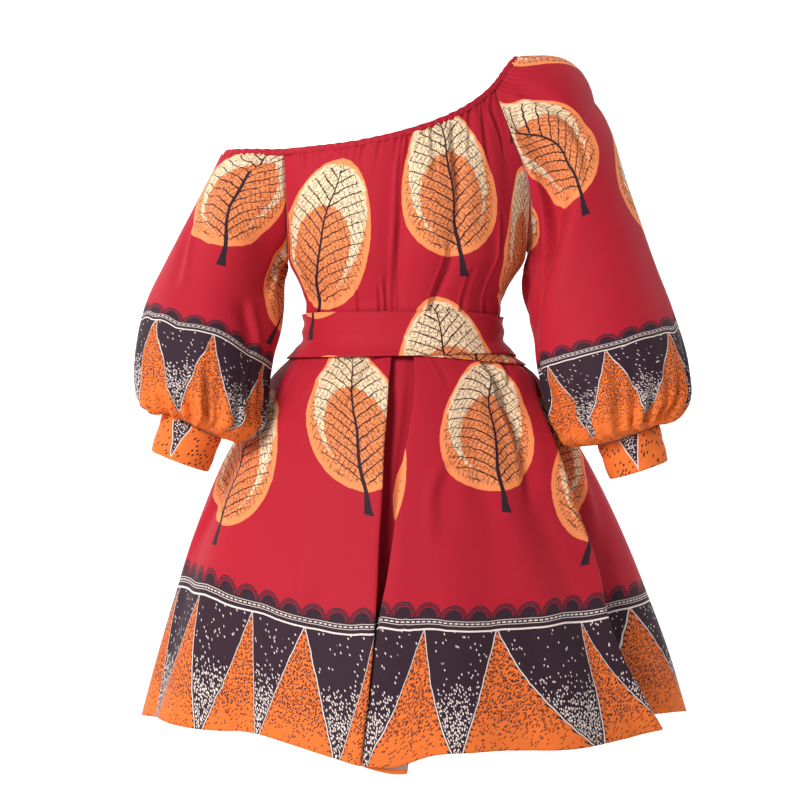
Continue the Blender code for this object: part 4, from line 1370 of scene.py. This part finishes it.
class Dye(Enum):
    """Colours of the wax print and its threads."""

    RED = linear(174, 32, 48)
    AUBERGINE = linear(54, 36, 46)
    ORANGE = linear(230, 113, 50)
    LEAF_ORANGE = linear(243, 142, 88)
    LEAF_CORE = linear(231, 134, 82)
    CREAM = linear(241, 209, 171)
    LINE = linear(232, 216, 208)
    VEIN = linear(50, 34, 42)
    REVERSE = linear(196, 182, 180)
    REVERSE_RED = linear(186, 120, 120)


Paint = Dye | Socket


class Field:
    """A number that shader nodes work out at each point of a surface."""

    def __init__(self, graph: "Graph", socket: Socket) -> None:
        """Keeps the graph and the socket that gives the number."""
        self.graph, self.socket = graph, socket

    def math(self, operation: str, *others: "Field | float", clamp: bool = False) -> "Field":
        """Adds a maths node.

        Args:
            operation: Blender's name of the operation.
            others: Its other inputs.
            clamp: Whether the result is kept from 0 to 1.

        Returns:
            The result.
        """
        node = self.graph.node("ShaderNodeMath")
        node.operation = operation
        node.use_clamp = clamp
        for socket, value in zip(node.inputs, (self, *others)):
            self.graph.join(value, socket)
        return Field(self.graph, node.outputs[0])

    def __add__(self, other: "Field | float") -> "Field":
        """Adds."""
        return self.math("ADD", other)

    def __sub__(self, other: "Field | float") -> "Field":
        """Subtracts."""
        return self.math("SUBTRACT", other)

    def __rsub__(self, other: float) -> "Field":
        """Subtracts from a number."""
        return self.math("MULTIPLY_ADD", -1.0, other)

    def __mul__(self, other: "Field | float") -> "Field":
        """Multiplies."""
        return self.math("MULTIPLY", other)

    def __truediv__(self, other: "Field | float") -> "Field":
        """Divides."""
        return self.math("DIVIDE", other)

    __radd__, __rmul__ = __add__, __mul__

    def least(self, other: "Field | float") -> "Field":
        """Takes the smaller."""
        return self.math("MINIMUM", other)

    def most(self, other: "Field | float") -> "Field":
        """Takes the larger."""
        return self.math("MAXIMUM", other)

    def size(self) -> "Field":
        """Drops the sign."""
        return self.math("ABSOLUTE")

    def floor(self) -> "Field":
        """Rounds down."""
        return self.math("FLOOR")

    def clamped(self) -> "Field":
        """Keeps it from 0 to 1."""
        return self.math("ADD", 0.0, clamp=True)

    def wave(self, period: float, phase: float = 0.0) -> "Field":
        """Takes the sine with a period."""
        return (self * (TURN / period) + phase).math("SINE")

    def repeat(self, period: float) -> "Field":
        """Measures from the middle of the nearest repeat."""
        return self - ((self / period).floor() + 0.5) * period

    def below(self, limit: "Field | float", soft: float) -> "Field":
        """Is 1 where the number is under the limit and 0 above, with a soft step."""
        gap = limit - self if isinstance(limit, Field) else self.math("MULTIPLY_ADD", -1.0, limit)
        return (gap / soft + 0.5).clamped()

    def above(self, limit: float, soft: float) -> "Field":
        """Is 1 where the number is over the limit and 0 below, with a soft step."""
        return ((self - limit) / soft + 0.5).clamped()

    def radius(self, other: "Field") -> "Field":
        """Joins two distances at right angles into the straight one."""
        return ((self * self) + (other * other)).math("SQRT")

    def between(self, low: float, high: float, soft: float) -> "Field":
        """Is 1 between two limits, with soft steps."""
        middle, half = (low + high) / 2, (high - low) / 2
        return (self - middle).size().below(half, soft)


class Graph:
    """The nodes of one material."""

    def __init__(self, name: str) -> None:
        """Starts an empty material.

        Args:
            name: Name of the material.
        """
        self.material = bpy.data.materials.new(name)
        self.material.use_nodes = True
        self.tree = self.material.node_tree
        self.shader = self.tree.nodes["Principled BSDF"]

    def node(self, kind: str) -> bpy.types.Node:
        """Adds a node."""
        return self.tree.nodes.new(kind)

    def join(self, value: "Field | Paint | float", socket: Socket) -> None:
        """Gives a socket its input.

        Args:
            value: What is linked to it, or its fixed value.
            socket: The socket.
        """
        if isinstance(value, Field):
            value = value.socket
        if isinstance(value, Dye):
            value = value.value
        if isinstance(value, Socket):
            self.tree.links.new(value, socket)
        else:
            socket.default_value = value

    def set(self, node: bpy.types.Node, values: dict[str, float | Colour]) -> None:
        """Gives a node's inputs fixed values by their names."""
        for name, value in values.items():
            node.inputs[name].default_value = value

    def map(self, name: str) -> tuple[Field, Field]:
        """Reads one of the cloth's maps.

        Args:
            name: Name of the map.

        Returns:
            Its two coordinates in metres.
        """
        source = self.node("ShaderNodeUVMap")
        source.uv_map = name
        split = self.node("ShaderNodeSeparateXYZ")
        self.tree.links.new(source.outputs[0], split.inputs[0])
        return Field(self, split.outputs[0]), Field(self, split.outputs[1])

    def point(self, x: Field | float, y: Field | float) -> Socket:
        """Joins two coordinates into a vector.

        Args:
            x: The first coordinate.
            y: The second.

        Returns:
            The vector.
        """
        node = self.node("ShaderNodeCombineXYZ")
        self.join(x, node.inputs[0])
        self.join(y, node.inputs[1])
        return node.outputs[0]

    def noise(self, place: Socket, scale: float, detail: float = 2.0) -> Field:
        """Reads soft noise.

        Args:
            place: Vector at which it is read.
            scale: Waves in a metre.
            detail: Number of finer layers.

        Returns:
            Noise from 0 to 1.
        """
        node = self.node("ShaderNodeTexNoise")
        self.join(place, node.inputs["Vector"])
        self.set(node, {"Scale": scale, "Detail": detail})
        return Field(self, node.outputs[0])

    def cells(self, place: Socket, scale: float, feature: str) -> tuple[Field, Field]:
        """Reads a pattern of irregular cells.

        Args:
            place: Vector at which it is read.
            scale: Cells in a metre.
            feature: Blender's name of what is measured.

        Returns:
            The distance in cells, and a number from 0 to 1 that differs from cell to cell.
        """
        node = self.node("ShaderNodeTexVoronoi")
        node.feature = feature
        node.voronoi_dimensions = "2D"
        self.join(place, node.inputs["Vector"])
        self.set(node, {"Scale": scale})
        distance = Field(self, node.outputs["Distance"])
        if feature == "DISTANCE_TO_EDGE":
            return distance, distance
        split = self.node("ShaderNodeSeparateColor")
        self.tree.links.new(node.outputs["Color"], split.inputs[0])
        return distance, Field(self, split.outputs[0])

    def specks(self, place: Socket, scale: float, size: float, soft: float,
               share: Field | float) -> Field:
        """Is 1 on round specks with soft edges, one in each cell of a chosen share of cells."""
        spot, random = self.cells(place, scale, "F1")
        return spot.below(size, soft) * random.below(share, 0.01)

    def mix(self, share: Field, under: "Paint", over: "Paint") -> Socket:
        """Lays one colour over another.

        Args:
            share: Share of the upper colour.
            under: The lower colour.
            over: The upper colour.

        Returns:
            The mixed colour.
        """
        node = self.node("ShaderNodeMix")
        node.data_type = "RGBA"
        self.join(share, node.inputs[0])
        self.join(under, node.inputs[6])
        self.join(over, node.inputs[7])
        return node.outputs[2]


class Look(Enum):
    """Which side or part of the cloth a finish is for."""

    PRINT = "print"
    CUFF = "cuff"
    SASH = "sash"
    PLAIN = "plain"
    REVERSE = "reverse"


@dataclass(frozen=True)
class LeafPrint:
    """Leaf medallions on a plain ground, in columns of which every second one sits lower.

    Attributes:
        across: Width of a repeat in metres.
        down: Its height.
        drop: How much lower every second column sits.
        half_width: Half width of a medallion.
        half_length: Half its length.
        lowest: Least height of a medallion's middle above the hem, clear of the border.
        tilt: Lean of a medallion in radians, to one side and the other in turn.
        edge: Softness of the printed edges.
        crescent: Lift of the cream crescent, and its size as shares of the medallion's half
            length and half width.
        core: The same for the darker core.
        rib_pitch: Distance between two side veins.
        twig_pitch: Distance between two of the finer veins across them.
        net: Meshes in a metre of the fine net.
        stalk: How far below the middle the stalk ends.
    """

    across: float = 0.172
    down: float = 0.250
    drop: float = 0.070
    half_width: float = 0.069
    half_length: float = 0.099
    lowest: float = 0.225
    tilt: float = 0.22
    edge: float = 0.0005
    crescent: tuple[float, float, float] = (0.006, 0.86, 0.84)
    core: tuple[float, float, float] = (-0.022, 0.60, 0.66)
    rib_pitch: float = 0.0145
    twig_pitch: float = 0.0088
    net: float = 165.0
    stalk: float = 0.134

    def oval(self, side: Field, up: Field, shape: tuple[float, float, float]) -> Field:
        """Is 0 in the middle of an oval within a medallion and 1 on its edge."""
        lift, long, wide = shape
        return ((up - lift) / (self.half_length * long)).radius(side / (self.half_width * wide))

    def veins(self, graph: Graph, place: Socket, side: Field, up: Field,
              level: Field, ragged: Field) -> Field:
        """Draws a midrib with its stalk, curved side veins, finer ones and a net.

        Args:
            graph: The material's nodes.
            place: The print's own coordinates.
            side: Distance to the side of the medallion's middle.
            up: Distance towards its tip.
            level: 0 in the medallion's middle and 1 on its edge.
            ragged: Noise about 0.

        Returns:
            Strength of the lines.
        """
        away = side.size()
        taper = (up / self.half_length).math("MULTIPLY_ADD", -0.0011, 0.0017)
        midrib = (side + up.wave(0.09) * 0.0016).size().below(taper, self.edge)
        midrib = midrib * up.between(-self.half_length - 0.034, self.half_length * 0.86, 0.004)
        foot = (0.0 - up - self.half_length) * 0.16 + 0.0018
        stem = away.below(foot, self.edge) * up.below(-self.half_length * 0.97, 0.004)
        stem = stem * up.between(-self.stalk, 0.0, 0.001)
        right = side.below(0.0, 0.0002)
        rib = up - away * 0.85 + away * away * 4.0 + right * 0.0075 + ragged * 0.006
        thick = away.math("MULTIPLY_ADD", -0.012, 0.00125).most(0.0004)
        ribs = rib.repeat(self.rib_pitch).size().below(thick, self.edge) * level.below(0.90, 0.02)
        twig = (up * 0.8 + away * 1.25 + ragged * 0.010).repeat(self.twig_pitch).size()
        broken = graph.noise(place, 160.0, 1.0).math("GREATER_THAN", 0.44)
        twigs = twig.below(0.00055, self.edge) * level.between(0.12, 0.93, 0.02) * broken
        net, _ = graph.cells(place, self.net, "DISTANCE_TO_EDGE")
        torn = graph.noise(place, 240.0, 1.0).math("GREATER_THAN", 0.46)
        nets = net.below(0.055, 0.05) * level.below(0.91, 0.03) * torn
        return midrib.most(ribs).most(twigs).most(nets * 0.9).most(stem)

    def paint(self, graph: Graph, u: Field, v: Field, height: Field, ground: Paint) -> Socket:
        """Lays the medallions over a ground.

        A medallion has an orange rim, a cream crescent towards its tip and a darker core, with
        the veins over them.

        Args:
            graph: The material's nodes.
            u: Distance across.
            v: Distance up.
            height: Distance up from the hem.
            ground: Colour of the ground.

        Returns:
            The painted colour.
        """
        column = (u / self.across).floor()
        odd = column.math("MODULO", 2.0).size()
        x = u - (column + 0.5) * self.across
        y = (v + odd * self.drop).repeat(self.down)
        kept = (y - height).below(-self.lowest, 0.001)
        lean = odd * 2.0 - 1.0
        cosine, sine = float(np.cos(self.tilt)), float(np.sin(self.tilt))
        side = x * cosine - y * lean * sine
        up = x * lean * sine + y * cosine
        place = graph.point(u, v)
        ragged = graph.noise(place, 95.0) - 0.5
        share = up / self.half_length
        wide = (side / self.half_width) / share.math("MULTIPLY_ADD", -0.20, 1.0)
        level = wide.radius(share) + ragged * 0.03
        inside = level.below(1.0, self.edge / self.half_width) * kept
        colour = graph.mix(inside, ground, Dye.LEAF_ORANGE)
        for shape, dye in ((self.crescent, Dye.CREAM), (self.core, Dye.LEAF_CORE)):
            oval = (self.oval(side, up, shape) + ragged * 0.16).below(1.0, 0.03)
            colour = graph.mix(oval.least(inside), colour, dye)
        veins = self.veins(graph, place, side, up, level, ragged) * kept
        return graph.mix(veins.clamped(), colour, Dye.VEIN)


@dataclass(frozen=True)
class Border:
    """The hem's border: tall triangles, cream lines, and a scalloped edging with a dotted chain.

    Attributes:
        pitch: Distance between two triangles in metres.
        line: Height of the thick cream line.
        base: Half width of the dark shape at the hem.
        slope: How much it widens with height.
        dome: Pitch of the scallops.
        dome_foot: Height of the scallops' middles.
        dome_radius: Radius of a scallop.
        chain_radius: Radius along which the chain's beads are measured out.
        bead_pitch: Distance between two beads there.
        inner_beads: Inner and outer radius of the chain's inner row.
        outer_beads: The same for its outer row.
        thin_lines: Heights of the thin cream lines.
        dashes: Height of the row of dashes between them.
    """

    pitch: float = 0.114
    line: float = 0.1405
    base: float = 0.0050
    slope: float = 0.366
    dome: float = 0.032
    dome_foot: float = 0.1535
    dome_radius: float = 0.0168
    chain_radius: float = 0.0138
    bead_pitch: float = 0.0030
    inner_beads: tuple[float, float] = (0.0113, 0.0128)
    outer_beads: tuple[float, float] = (0.0141, 0.0154)
    thin_lines: tuple[float, float] = (0.1462, 0.1515)
    dashes: float = 0.1488

    def triangles(self, graph: Graph, across: Field, up: Field, beside: Field) -> Socket:
        """Paints the dark and the orange triangles, their specks, ticks and outlines.

        Args:
            graph: The material's nodes.
            across: Distance along the cloth.
            up: Distance up from the hem.
            beside: Distance out from the nearest dark triangle's edge, under 0 inside it.

        Returns:
            The painted colour.
        """
        colour = graph.mix(beside.below(0.0, 0.0006), Dye.ORANGE, Dye.AUBERGINE)
        slant = graph.point(across + up * 0.45, up * 0.62)
        share = up.between(-0.02, 0.060, 0.050).math("MULTIPLY_ADD", 0.80, 0.06)
        pale = graph.specks(slant, 450.0, 0.36, 0.16, share) * beside.below(-0.0022, 0.001)
        colour = graph.mix(pale, colour, Dye.LINE)
        slant = graph.point(across - up * 0.5, up * 0.72)
        share = up.between(0.028, 0.16, 0.030).math("MULTIPLY_ADD", 0.66, 0.22)
        dark = graph.specks(slant, 390.0, 0.36, 0.18, share) * beside.above(0.0030, 0.001)
        colour = graph.mix(dark, colour, Dye.AUBERGINE)
        tick = (across * 0.4 + up).repeat(0.0066).size().below(0.0011, 0.0005)
        tick = tick * beside.between(0.0006, 0.0034, 0.0005)
        fine = beside.between(0.0006, 0.0013, 0.0004)
        colour = graph.mix(tick.most(fine), colour, Dye.AUBERGINE)
        return graph.mix(beside.size().below(0.00062, 0.0005), colour, Dye.LINE)

    def paint(self, graph: Graph, along: Field, across: Field, height: Field,
              ground: Paint) -> Socket:
        """Lays the border over a ground.

        Args:
            graph: The material's nodes.
            along: Distance along the border's repeat, which sets the triangles.
            across: Distance along the cloth, which sets everything small.
            height: Distance up from the hem.
            ground: Colour above the border.

        Returns:
            The painted colour.
        """
        up = height + across.wave(0.21) * 0.0012 + across.wave(0.083, 1.0) * 0.0008
        wobble = graph.noise(graph.point(across, height), 55.0) - 0.5
        half = up * self.slope + self.base
        beside = along.repeat(self.pitch).size() - half + wobble * 0.0036
        colour = self.triangles(graph, across, up, beside)
        arch, rise = across.repeat(self.dome), up - self.dome_foot
        ring = arch.radius(rise)
        top = ring.below(self.dome_radius, 0.0006).most(up.below(self.dome_foot, 0.0006))
        over_line = up.above(self.line, 0.0004)
        colour = graph.mix(over_line, colour, ground)
        colour = graph.mix(top * over_line, colour, Dye.AUBERGINE)
        turn = rise.math("ARCTAN2", arch) * self.chain_radius
        inner = turn.repeat(self.bead_pitch).size().below(0.0009, 0.0003)
        inner = inner * ring.between(*self.inner_beads, 0.0003)
        outer = (turn + self.bead_pitch / 2).repeat(self.bead_pitch).size().below(0.0008, 0.0003)
        outer = outer * ring.between(*self.outer_beads, 0.0003)
        chain = inner.most(outer) * up.above(self.dome_foot + 0.001, 0.0006)
        colour = graph.mix(chain, colour, Dye.RED)
        lines = (up - self.line).size().below(0.0010, 0.0004)
        for level in self.thin_lines:
            lines = lines.most((up - level).size().below(0.0004, 0.0003) * 0.8)
        dash = across.repeat(0.0068).size().below(0.0023, 0.0005)
        dash = dash * (up - self.dashes).size().below(0.0007, 0.0004)
        return graph.mix(lines.most(dash), colour, Dye.LINE)


@dataclass(frozen=True)
class CuffPrint:
    """The lowest part of the border, which the cuffs are cut from.

    Attributes:
        pitch: Distance between two dark triangles in metres.
        narrow: Half width of a triangle at the open end.
        slope: How much it widens with height.
    """

    pitch: float = 0.118
    narrow: float = -0.0015
    slope: float = 0.30

    def paint(self, graph: Graph, along: Field, height: Field) -> Socket:
        """Paints the cuff.

        Args:
            graph: The material's nodes.
            along: Distance round the cuff.
            height: Distance up from its open end.

        Returns:
            The painted colour.
        """
        place = graph.point(along, height)
        wobble = graph.noise(place, 55.0) - 0.5
        beside = along.repeat(self.pitch).size() - (height * self.slope + self.narrow)
        beside = beside + wobble * 0.004
        colour = graph.mix(beside.below(0.0, 0.0006), Dye.ORANGE, Dye.AUBERGINE)
        slant = graph.point(along - height * 0.5, height * 0.72)
        dark = graph.specks(slant, 210.0, 0.28, 0.12, 0.42) * beside.above(0.004, 0.001)
        colour = graph.mix(dark, colour, Dye.AUBERGINE)
        pale = graph.specks(place, 430.0, 0.34, 0.16, 0.6) * beside.below(-0.002, 0.001)
        outline = beside.size().below(0.0006, 0.0005)
        return graph.mix(pale.most(outline), colour, Dye.LINE)


@dataclass(frozen=True)
class Cloth:
    """Printed cotton: its print, its faint sheen and its fine weave.

    Attributes:
        name: Name of the material.
        look: Which part of the cloth it is for.
        roughness: Roughness of the surface.
        sheen: Strength of the soft sheen at grazing angles.
        specular: Strength of the plain reflections.
        thread: Distance between two threads in metres.
        crumple: Strength of the soft unevenness left by wear.
        border_top: Height up to which the border is painted.
    """

    name: str
    look: Look
    roughness: float = 0.62
    sheen: float = 0.02
    specular: float = 0.08
    thread: float = 0.0006
    crumple: float = 0.35
    border_top: float = 0.20

    def build(self) -> bpy.types.Material:
        """Makes the material.

        Returns:
            The material, with its print and weave.
        """
        graph = Graph(self.name)
        u, v = graph.map("print")
        place = graph.point(u, v)
        graph.join(self.colour(graph, u, v, place), graph.shader.inputs["Base Color"])
        graph.set(graph.shader, {"Roughness": self.roughness, "Specular IOR Level": self.specular,
                                 "Sheen Weight": self.sheen, "Sheen Roughness": 0.5})
        threads = u.wave(self.thread) * v.wave(self.thread)
        soft = graph.noise(place, 30.0, 3.0)
        bump = graph.node("ShaderNodeBump")
        graph.set(bump, {"Strength": 0.35, "Distance": 0.0012})
        graph.join(threads * 0.03 + soft * self.crumple * 2.0, bump.inputs["Height"])
        graph.join(bump.outputs[0], graph.shader.inputs["Normal"])
        return graph.material

    def colour(self, graph: Graph, u: Field, v: Field, place: Socket) -> Socket:
        """Paints the cloth.

        Args:
            graph: The material's nodes.
            u: Distance across the print.
            v: Distance up.
            place: Both as a vector.

        Returns:
            The painted colour.
        """
        along, height = graph.map("border")
        if self.look is Look.REVERSE:
            shade = graph.noise(place, 60.0) * 0.5
            colour = graph.mix(shade, Dye.REVERSE, Dye.REVERSE_RED)
            return graph.mix(height.below(0.005, 0.0004), colour, Dye.ORANGE)
        if self.look is Look.PLAIN:
            return graph.mix(graph.noise(place, 40.0) * 0.12, Dye.RED, Dye.AUBERGINE)
        if self.look is Look.CUFF:
            return CuffPrint().paint(graph, along, height)
        colour = LeafPrint().paint(graph, u, v, height, Dye.RED)
        if self.look is Look.SASH:
            return colour
        border = Border().paint(graph, along, u, height, colour)
        return graph.mix(height.below(self.border_top, 0.0004), colour, border)


@dataclass(frozen=True)
class Thread:
    """Sewing thread.

    Attributes:
        name: Name of the material.
        dye: Its colour.
    """

    name: str
    dye: Dye

    def build(self) -> bpy.types.Material:
        """Makes the material.

        Returns:
            The material.
        """
        graph = Graph(self.name)
        graph.set(graph.shader, {"Base Color": self.dye.value, "Roughness": 0.45})
        return graph.material


@dataclass
class Stitching:
    """A row of straight stitches that runs beside an edge of a sheet.

    Attributes:
        name: Name of the row's object.
        inset: Distance from the edge in millimetres.
        from_top: Whether it runs beside the upper edge.
        length: Length of a stitch.
        pitch: Distance between two stitches.
        width: Half width of the thread.
        reach: Rows from the edge among which the row is looked for.
    """

    name: str
    inset: float
    from_top: bool = False
    length: float = 2.5
    pitch: float = 3.3
    width: float = 0.24
    reach: int = 30

    def line(self, sheet: Sheet) -> tuple[Array, Array]:
        """Finds the line that the row runs along.

        Args:
            sheet: The sheet that is sewn.

        Returns:
            The line's points and the directions out of the cloth there.
        """
        rows, outs = sheet.points, surface_out(sheet.points, sheet.closed)
        if not self.from_top:
            rows, outs = rows[::-1], outs[::-1]
        near = rows[:self.reach]
        reach = lengths_along(near)
        row = np.clip((reach < self.inset).sum(axis=0) - 1, 0, self.reach - 2)
        column = np.arange(near.shape[1])
        part = (self.inset - reach[row, column]) / (reach[row + 1, column] - reach[row, column])
        part = part[:, None]
        line = near[row, column] * (1 - part) + near[row + 1, column] * part
        out = outs[row, column]
        if sheet.closed:
            return np.concatenate([line, line[:1]]), np.concatenate([out, out[:1]])
        return line, out

    def build(self, sheet: Sheet, finish: bpy.types.Material) -> bpy.types.Object:
        """Makes the stitches as slender lozenges that lie on the cloth.

        Args:
            sheet: The sheet that is sewn.
            finish: Finish of the thread.

        Returns:
            The object.
        """
        line, out = self.line(sheet)
        knots = lengths_along(line)
        middles = np.arange(self.pitch, knots[-1] - self.pitch, self.pitch)

        def at(values: Array, places: Array) -> Array:
            """Reads rows of values at lengths along the line."""
            return np.stack([np.interp(places, knots, values[:, k]) for k in range(3)], -1)

        start, end = at(line, middles - self.length / 2), at(line, middles + self.length / 2)
        outward, middle = unit(at(out, middles)), at(line, middles)
        side = np.cross(outward, unit(end - start)) * self.width
        ring = [middle + side + outward * 0.08, middle + outward * 0.34,
                middle - side + outward * 0.08, middle - outward * 0.10]
        points = np.stack([start, *ring, end], 1)
        corners = np.array([(0, 1, 2), (0, 2, 3), (0, 3, 4), (0, 4, 1),
                            (5, 2, 1), (5, 3, 2), (5, 4, 3), (5, 1, 4)])
        faces = corners[None] + 6 * np.arange(len(middles))[:, None, None]
        return added(self.name, new_mesh(self.name, placed(points), faces, (finish,)))


class Lamp(NamedTuple):
    """A soft square lamp: its place, the point it faces, its power in watts and its side."""

    name: str
    place: tuple[float, float, float]
    aim: tuple[float, float, float]
    power: float
    size: float


DRESS_MIDDLE = (-0.17, 0.0, -0.42)
LAMPS = (
    Lamp("key", (-2.4, -2.9, 1.2), DRESS_MIDDLE, 166.0, 1.4),
    Lamp("fill", (2.3, -1.9, 0.1), DRESS_MIDDLE, 11.0, 1.8),
    Lamp("wall_left", (-2.6, 1.4, 1.6), (-0.6, 3.2, -0.2), 92.0, 2.0),
    Lamp("wall_right", (2.4, 1.4, 1.6), (0.6, 3.2, -0.2), 92.0, 2.0),
)


@dataclass
class Stage:
    """The plain pale floor and backdrop, the soft lights and the camera.

    Attributes:
        floor: Height of the floor in metres.
        half_width: Half the floor's width.
        near: Where the floor starts, in front of the dress.
        bend: Where the floor starts to curve up, behind the dress.
        bend_radius: Radius of that curve.
        wall_top: Height of the wall.
        shade: Lightness of the floor and wall.
        ambient: Strength of the light from all sides.
        camera: The camera's place.
        lens: Focal length in millimetres.
        sensor: Width of the camera's sensor in millimetres.
    """

    floor: float = -1.35
    half_width: float = 7.0
    near: float = -6.0
    bend: float = 2.0
    bend_radius: float = 1.5
    wall_top: float = 5.0
    shade: float = 0.92
    ambient: float = 0.18
    camera: tuple[float, float, float] = (-0.1747, -2.5, -0.4577)
    lens: float = 84.43
    sensor: float = 36.0

    def backdrop(self) -> bpy.types.Object:
        """Makes the floor, which curves up into a wall behind the dress.

        Returns:
            The object.
        """
        turn, radius = np.linspace(0, np.pi / 2, 24), self.bend_radius
        curve = np.stack([self.bend + radius * np.sin(turn),
                          self.floor + radius * (1 - np.cos(turn))], -1)
        profile = np.concatenate([[(self.near, self.floor)], curve,
                                  [(self.bend + radius, self.wall_top)]])
        points = np.array([[(x, y, z) for y, z in profile]
                           for x in (-self.half_width, self.half_width)])
        count = len(profile)
        start = np.arange(count - 1)
        faces = np.stack([start, start + count, start + count + 1, start + 1], -1)
        graph = Graph("backdrop")
        graph.set(graph.shader, {"Base Color": (self.shade,) * 3 + (1.0,), "Roughness": 0.9})
        return added("backdrop", new_mesh("backdrop", points, faces, (graph.material,)))

    def light(self, lamp: Lamp) -> None:
        """Adds a soft square lamp.

        Args:
            lamp: What it is like and where it stands.
        """
        data = bpy.data.lights.new(lamp.name, "AREA")
        data.energy, data.size = lamp.power, lamp.size
        item = added(lamp.name, data)
        item.location = lamp.place
        way = np.array(lamp.aim) - np.array(lamp.place)
        item.rotation_euler = (float(np.arccos(-way[2] / np.linalg.norm(way))), 0.0,
                               float(np.arctan2(way[1], way[0]) - np.pi / 2))

    def build(self) -> None:
        """Makes the stage, its lights and the camera."""
        self.backdrop()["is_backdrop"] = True
        for lamp in LAMPS:
            self.light(lamp)
        scene = bpy.context.scene
        scene.world = bpy.data.worlds.new("studio")
        scene.world.use_nodes = True
        light = scene.world.node_tree.nodes["Background"]
        light.inputs["Color"].default_value = (1.0, 1.0, 1.0, 1.0)
        light.inputs["Strength"].default_value = self.ambient
        scene.view_settings.view_transform = "Standard"
        data = bpy.data.cameras.new("camera")
        data.lens, data.sensor_width = self.lens, self.sensor
        scene.camera = added("camera", data)
        scene.camera.location = self.camera
        scene.camera.rotation_euler = (np.pi / 2, 0.0, 0.0)


class Dressing(NamedTuple):
    """How a sheet is made up: its look, how it is held and the sheets that it lies against."""

    look: Look = Look.PRINT
    held: str = "gathered"
    rests_on: tuple[str, ...] = ()
    thickness: float = CLOTH


DRESSINGS = {
    "bodice_front": Dressing(rests_on=("bodice_back", "neck_casing")),
    "bodice_back": Dressing(rests_on=("neck_casing",)),
    "sleeve_bare": Dressing(rests_on=("neck_casing", "cuff_bare")),
    "sleeve_covered": Dressing(rests_on=("neck_casing", "cuff_covered")),
    "skirt_front": Dressing(held="hung", rests_on=("skirt_back", "bodice_front")),
    "skirt_back": Dressing(held="hung", rests_on=("bodice_back",)),
    "cuff_bare": Dressing(Look.CUFF, rests_on=("sleeve_bare",), thickness=CUFF_CLOTH),
    "cuff_covered": Dressing(Look.CUFF, rests_on=("sleeve_covered",), thickness=CUFF_CLOTH),
    "belt": Dressing(Look.SASH, rests_on=("bodice_front",), thickness=CUFF_CLOTH),
    "belt_tail": Dressing(Look.SASH, "folded", ("skirt_front",)),
    "neck_casing": Dressing(Look.PLAIN, thickness=0.0),
}
STITCHINGS = (
    ("skirt_front", Dye.ORANGE, Stitching("hem_stitches_front", 8.0)),
    ("skirt_back", Dye.ORANGE, Stitching("hem_stitches_back", 8.0)),
    ("cuff_bare", Dye.ORANGE, Stitching("cuff_stitches_bare", 3.0)),
    ("cuff_covered", Dye.ORANGE, Stitching("cuff_stitches_covered", 3.0)),
    ("cuff_bare", Dye.ORANGE, Stitching("cuff_seam_stitches_bare", 2.5, True)),
    ("cuff_covered", Dye.ORANGE, Stitching("cuff_seam_stitches_covered", 2.5, True)),
    ("belt", Dye.RED, Stitching("belt_stitches_top", 2.0, True)),
    ("belt", Dye.RED, Stitching("belt_stitches_bottom", 2.0)),
)


@dataclass
class Dress:
    """The whole dress, piece by piece.

    Attributes:
        log: Where each piece is reported.
        casing_least: Least flat height of the neck casing in metres. Not used.
    """

    log: logging.Logger
    casing_least: float = 0.010

    def sheets(self) -> dict[str, Sheet]:
        """Works out every sheet.

        Returns:
            The sheets by the names of their nodes.
        """
        bare, covered, sash = Sleeve(Shoulder.BARE), Sleeve(Shoulder.COVERED), Sash()
        sheets = {
            "bodice_front": Bodice(Side.FRONT).sheet(),
            "bodice_back": Bodice(Side.BACK).sheet(),
            "sleeve_bare": bare.sheet(),
            "sleeve_covered": covered.sheet(),
            "skirt_front": SkirtFront().sheet(),
            "skirt_back": SkirtBack().sheet(),
            "cuff_bare": bare.cuff(),
            "cuff_covered": covered.cuff(),
            "belt": sash.outer(),
            "belt_tail": sash.tail(),
        }
        sheets["neck_casing"] = Casing().sheet(sheets)
        return sheets

    def dress(self, name: str, sheet: Sheet, finishes: dict[Look, bpy.types.Material]) -> None:
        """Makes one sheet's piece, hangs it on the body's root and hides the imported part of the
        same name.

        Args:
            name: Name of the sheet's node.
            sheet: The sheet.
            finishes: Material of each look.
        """
        how = DRESSINGS[name]
        piece = cloth_object("cloth_" + name, sheet, finishes[how.look], finishes[Look.REVERSE],
                             how.thickness)
        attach(piece, "root")
        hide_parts(name)
        (width, length), area = sheet.cut()
        name == "neck_casing"
        self.log.info("%s: cut %.3f by %.3f m, %.4f m2, %d faces", name, width, length, area,
                      len(piece.data.polygons))

    def build(self) -> None:
        """Makes every piece and its stitches."""
        finishes = {look: Cloth("cloth_" + look.value, look).build() for look in Look}
        sheets = self.sheets()
        threads = {dye: Thread("thread_" + dye.name.lower(), dye).build()
                   for dye in (Dye.ORANGE, Dye.RED)}
        for name, sheet in sheets.items():
            self.dress(name, sheet, finishes)
        for name, dye, row in STITCHINGS:
            piece = row.build(sheets[name], threads[dye])
            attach(piece, "root")
            self.log.info("%s: %d faces", row.name, len(piece.data.polygons))


def main() -> None:
    """Builds the dress and the stage."""
    logging.basicConfig(level=logging.INFO, format="%(message)s")
    log = logging.getLogger("dress")
    Dress(log).build()
    Stage().build()
    low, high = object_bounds()
    sizes = {"cad": [[float(v) for v in corner] for corner in CAD_BOUNDS],
             "visual": [[float(v) for v in low], [float(v) for v in high]]}
    log.info("size: %s", sizes)


if __name__ == "__main__":
    main()
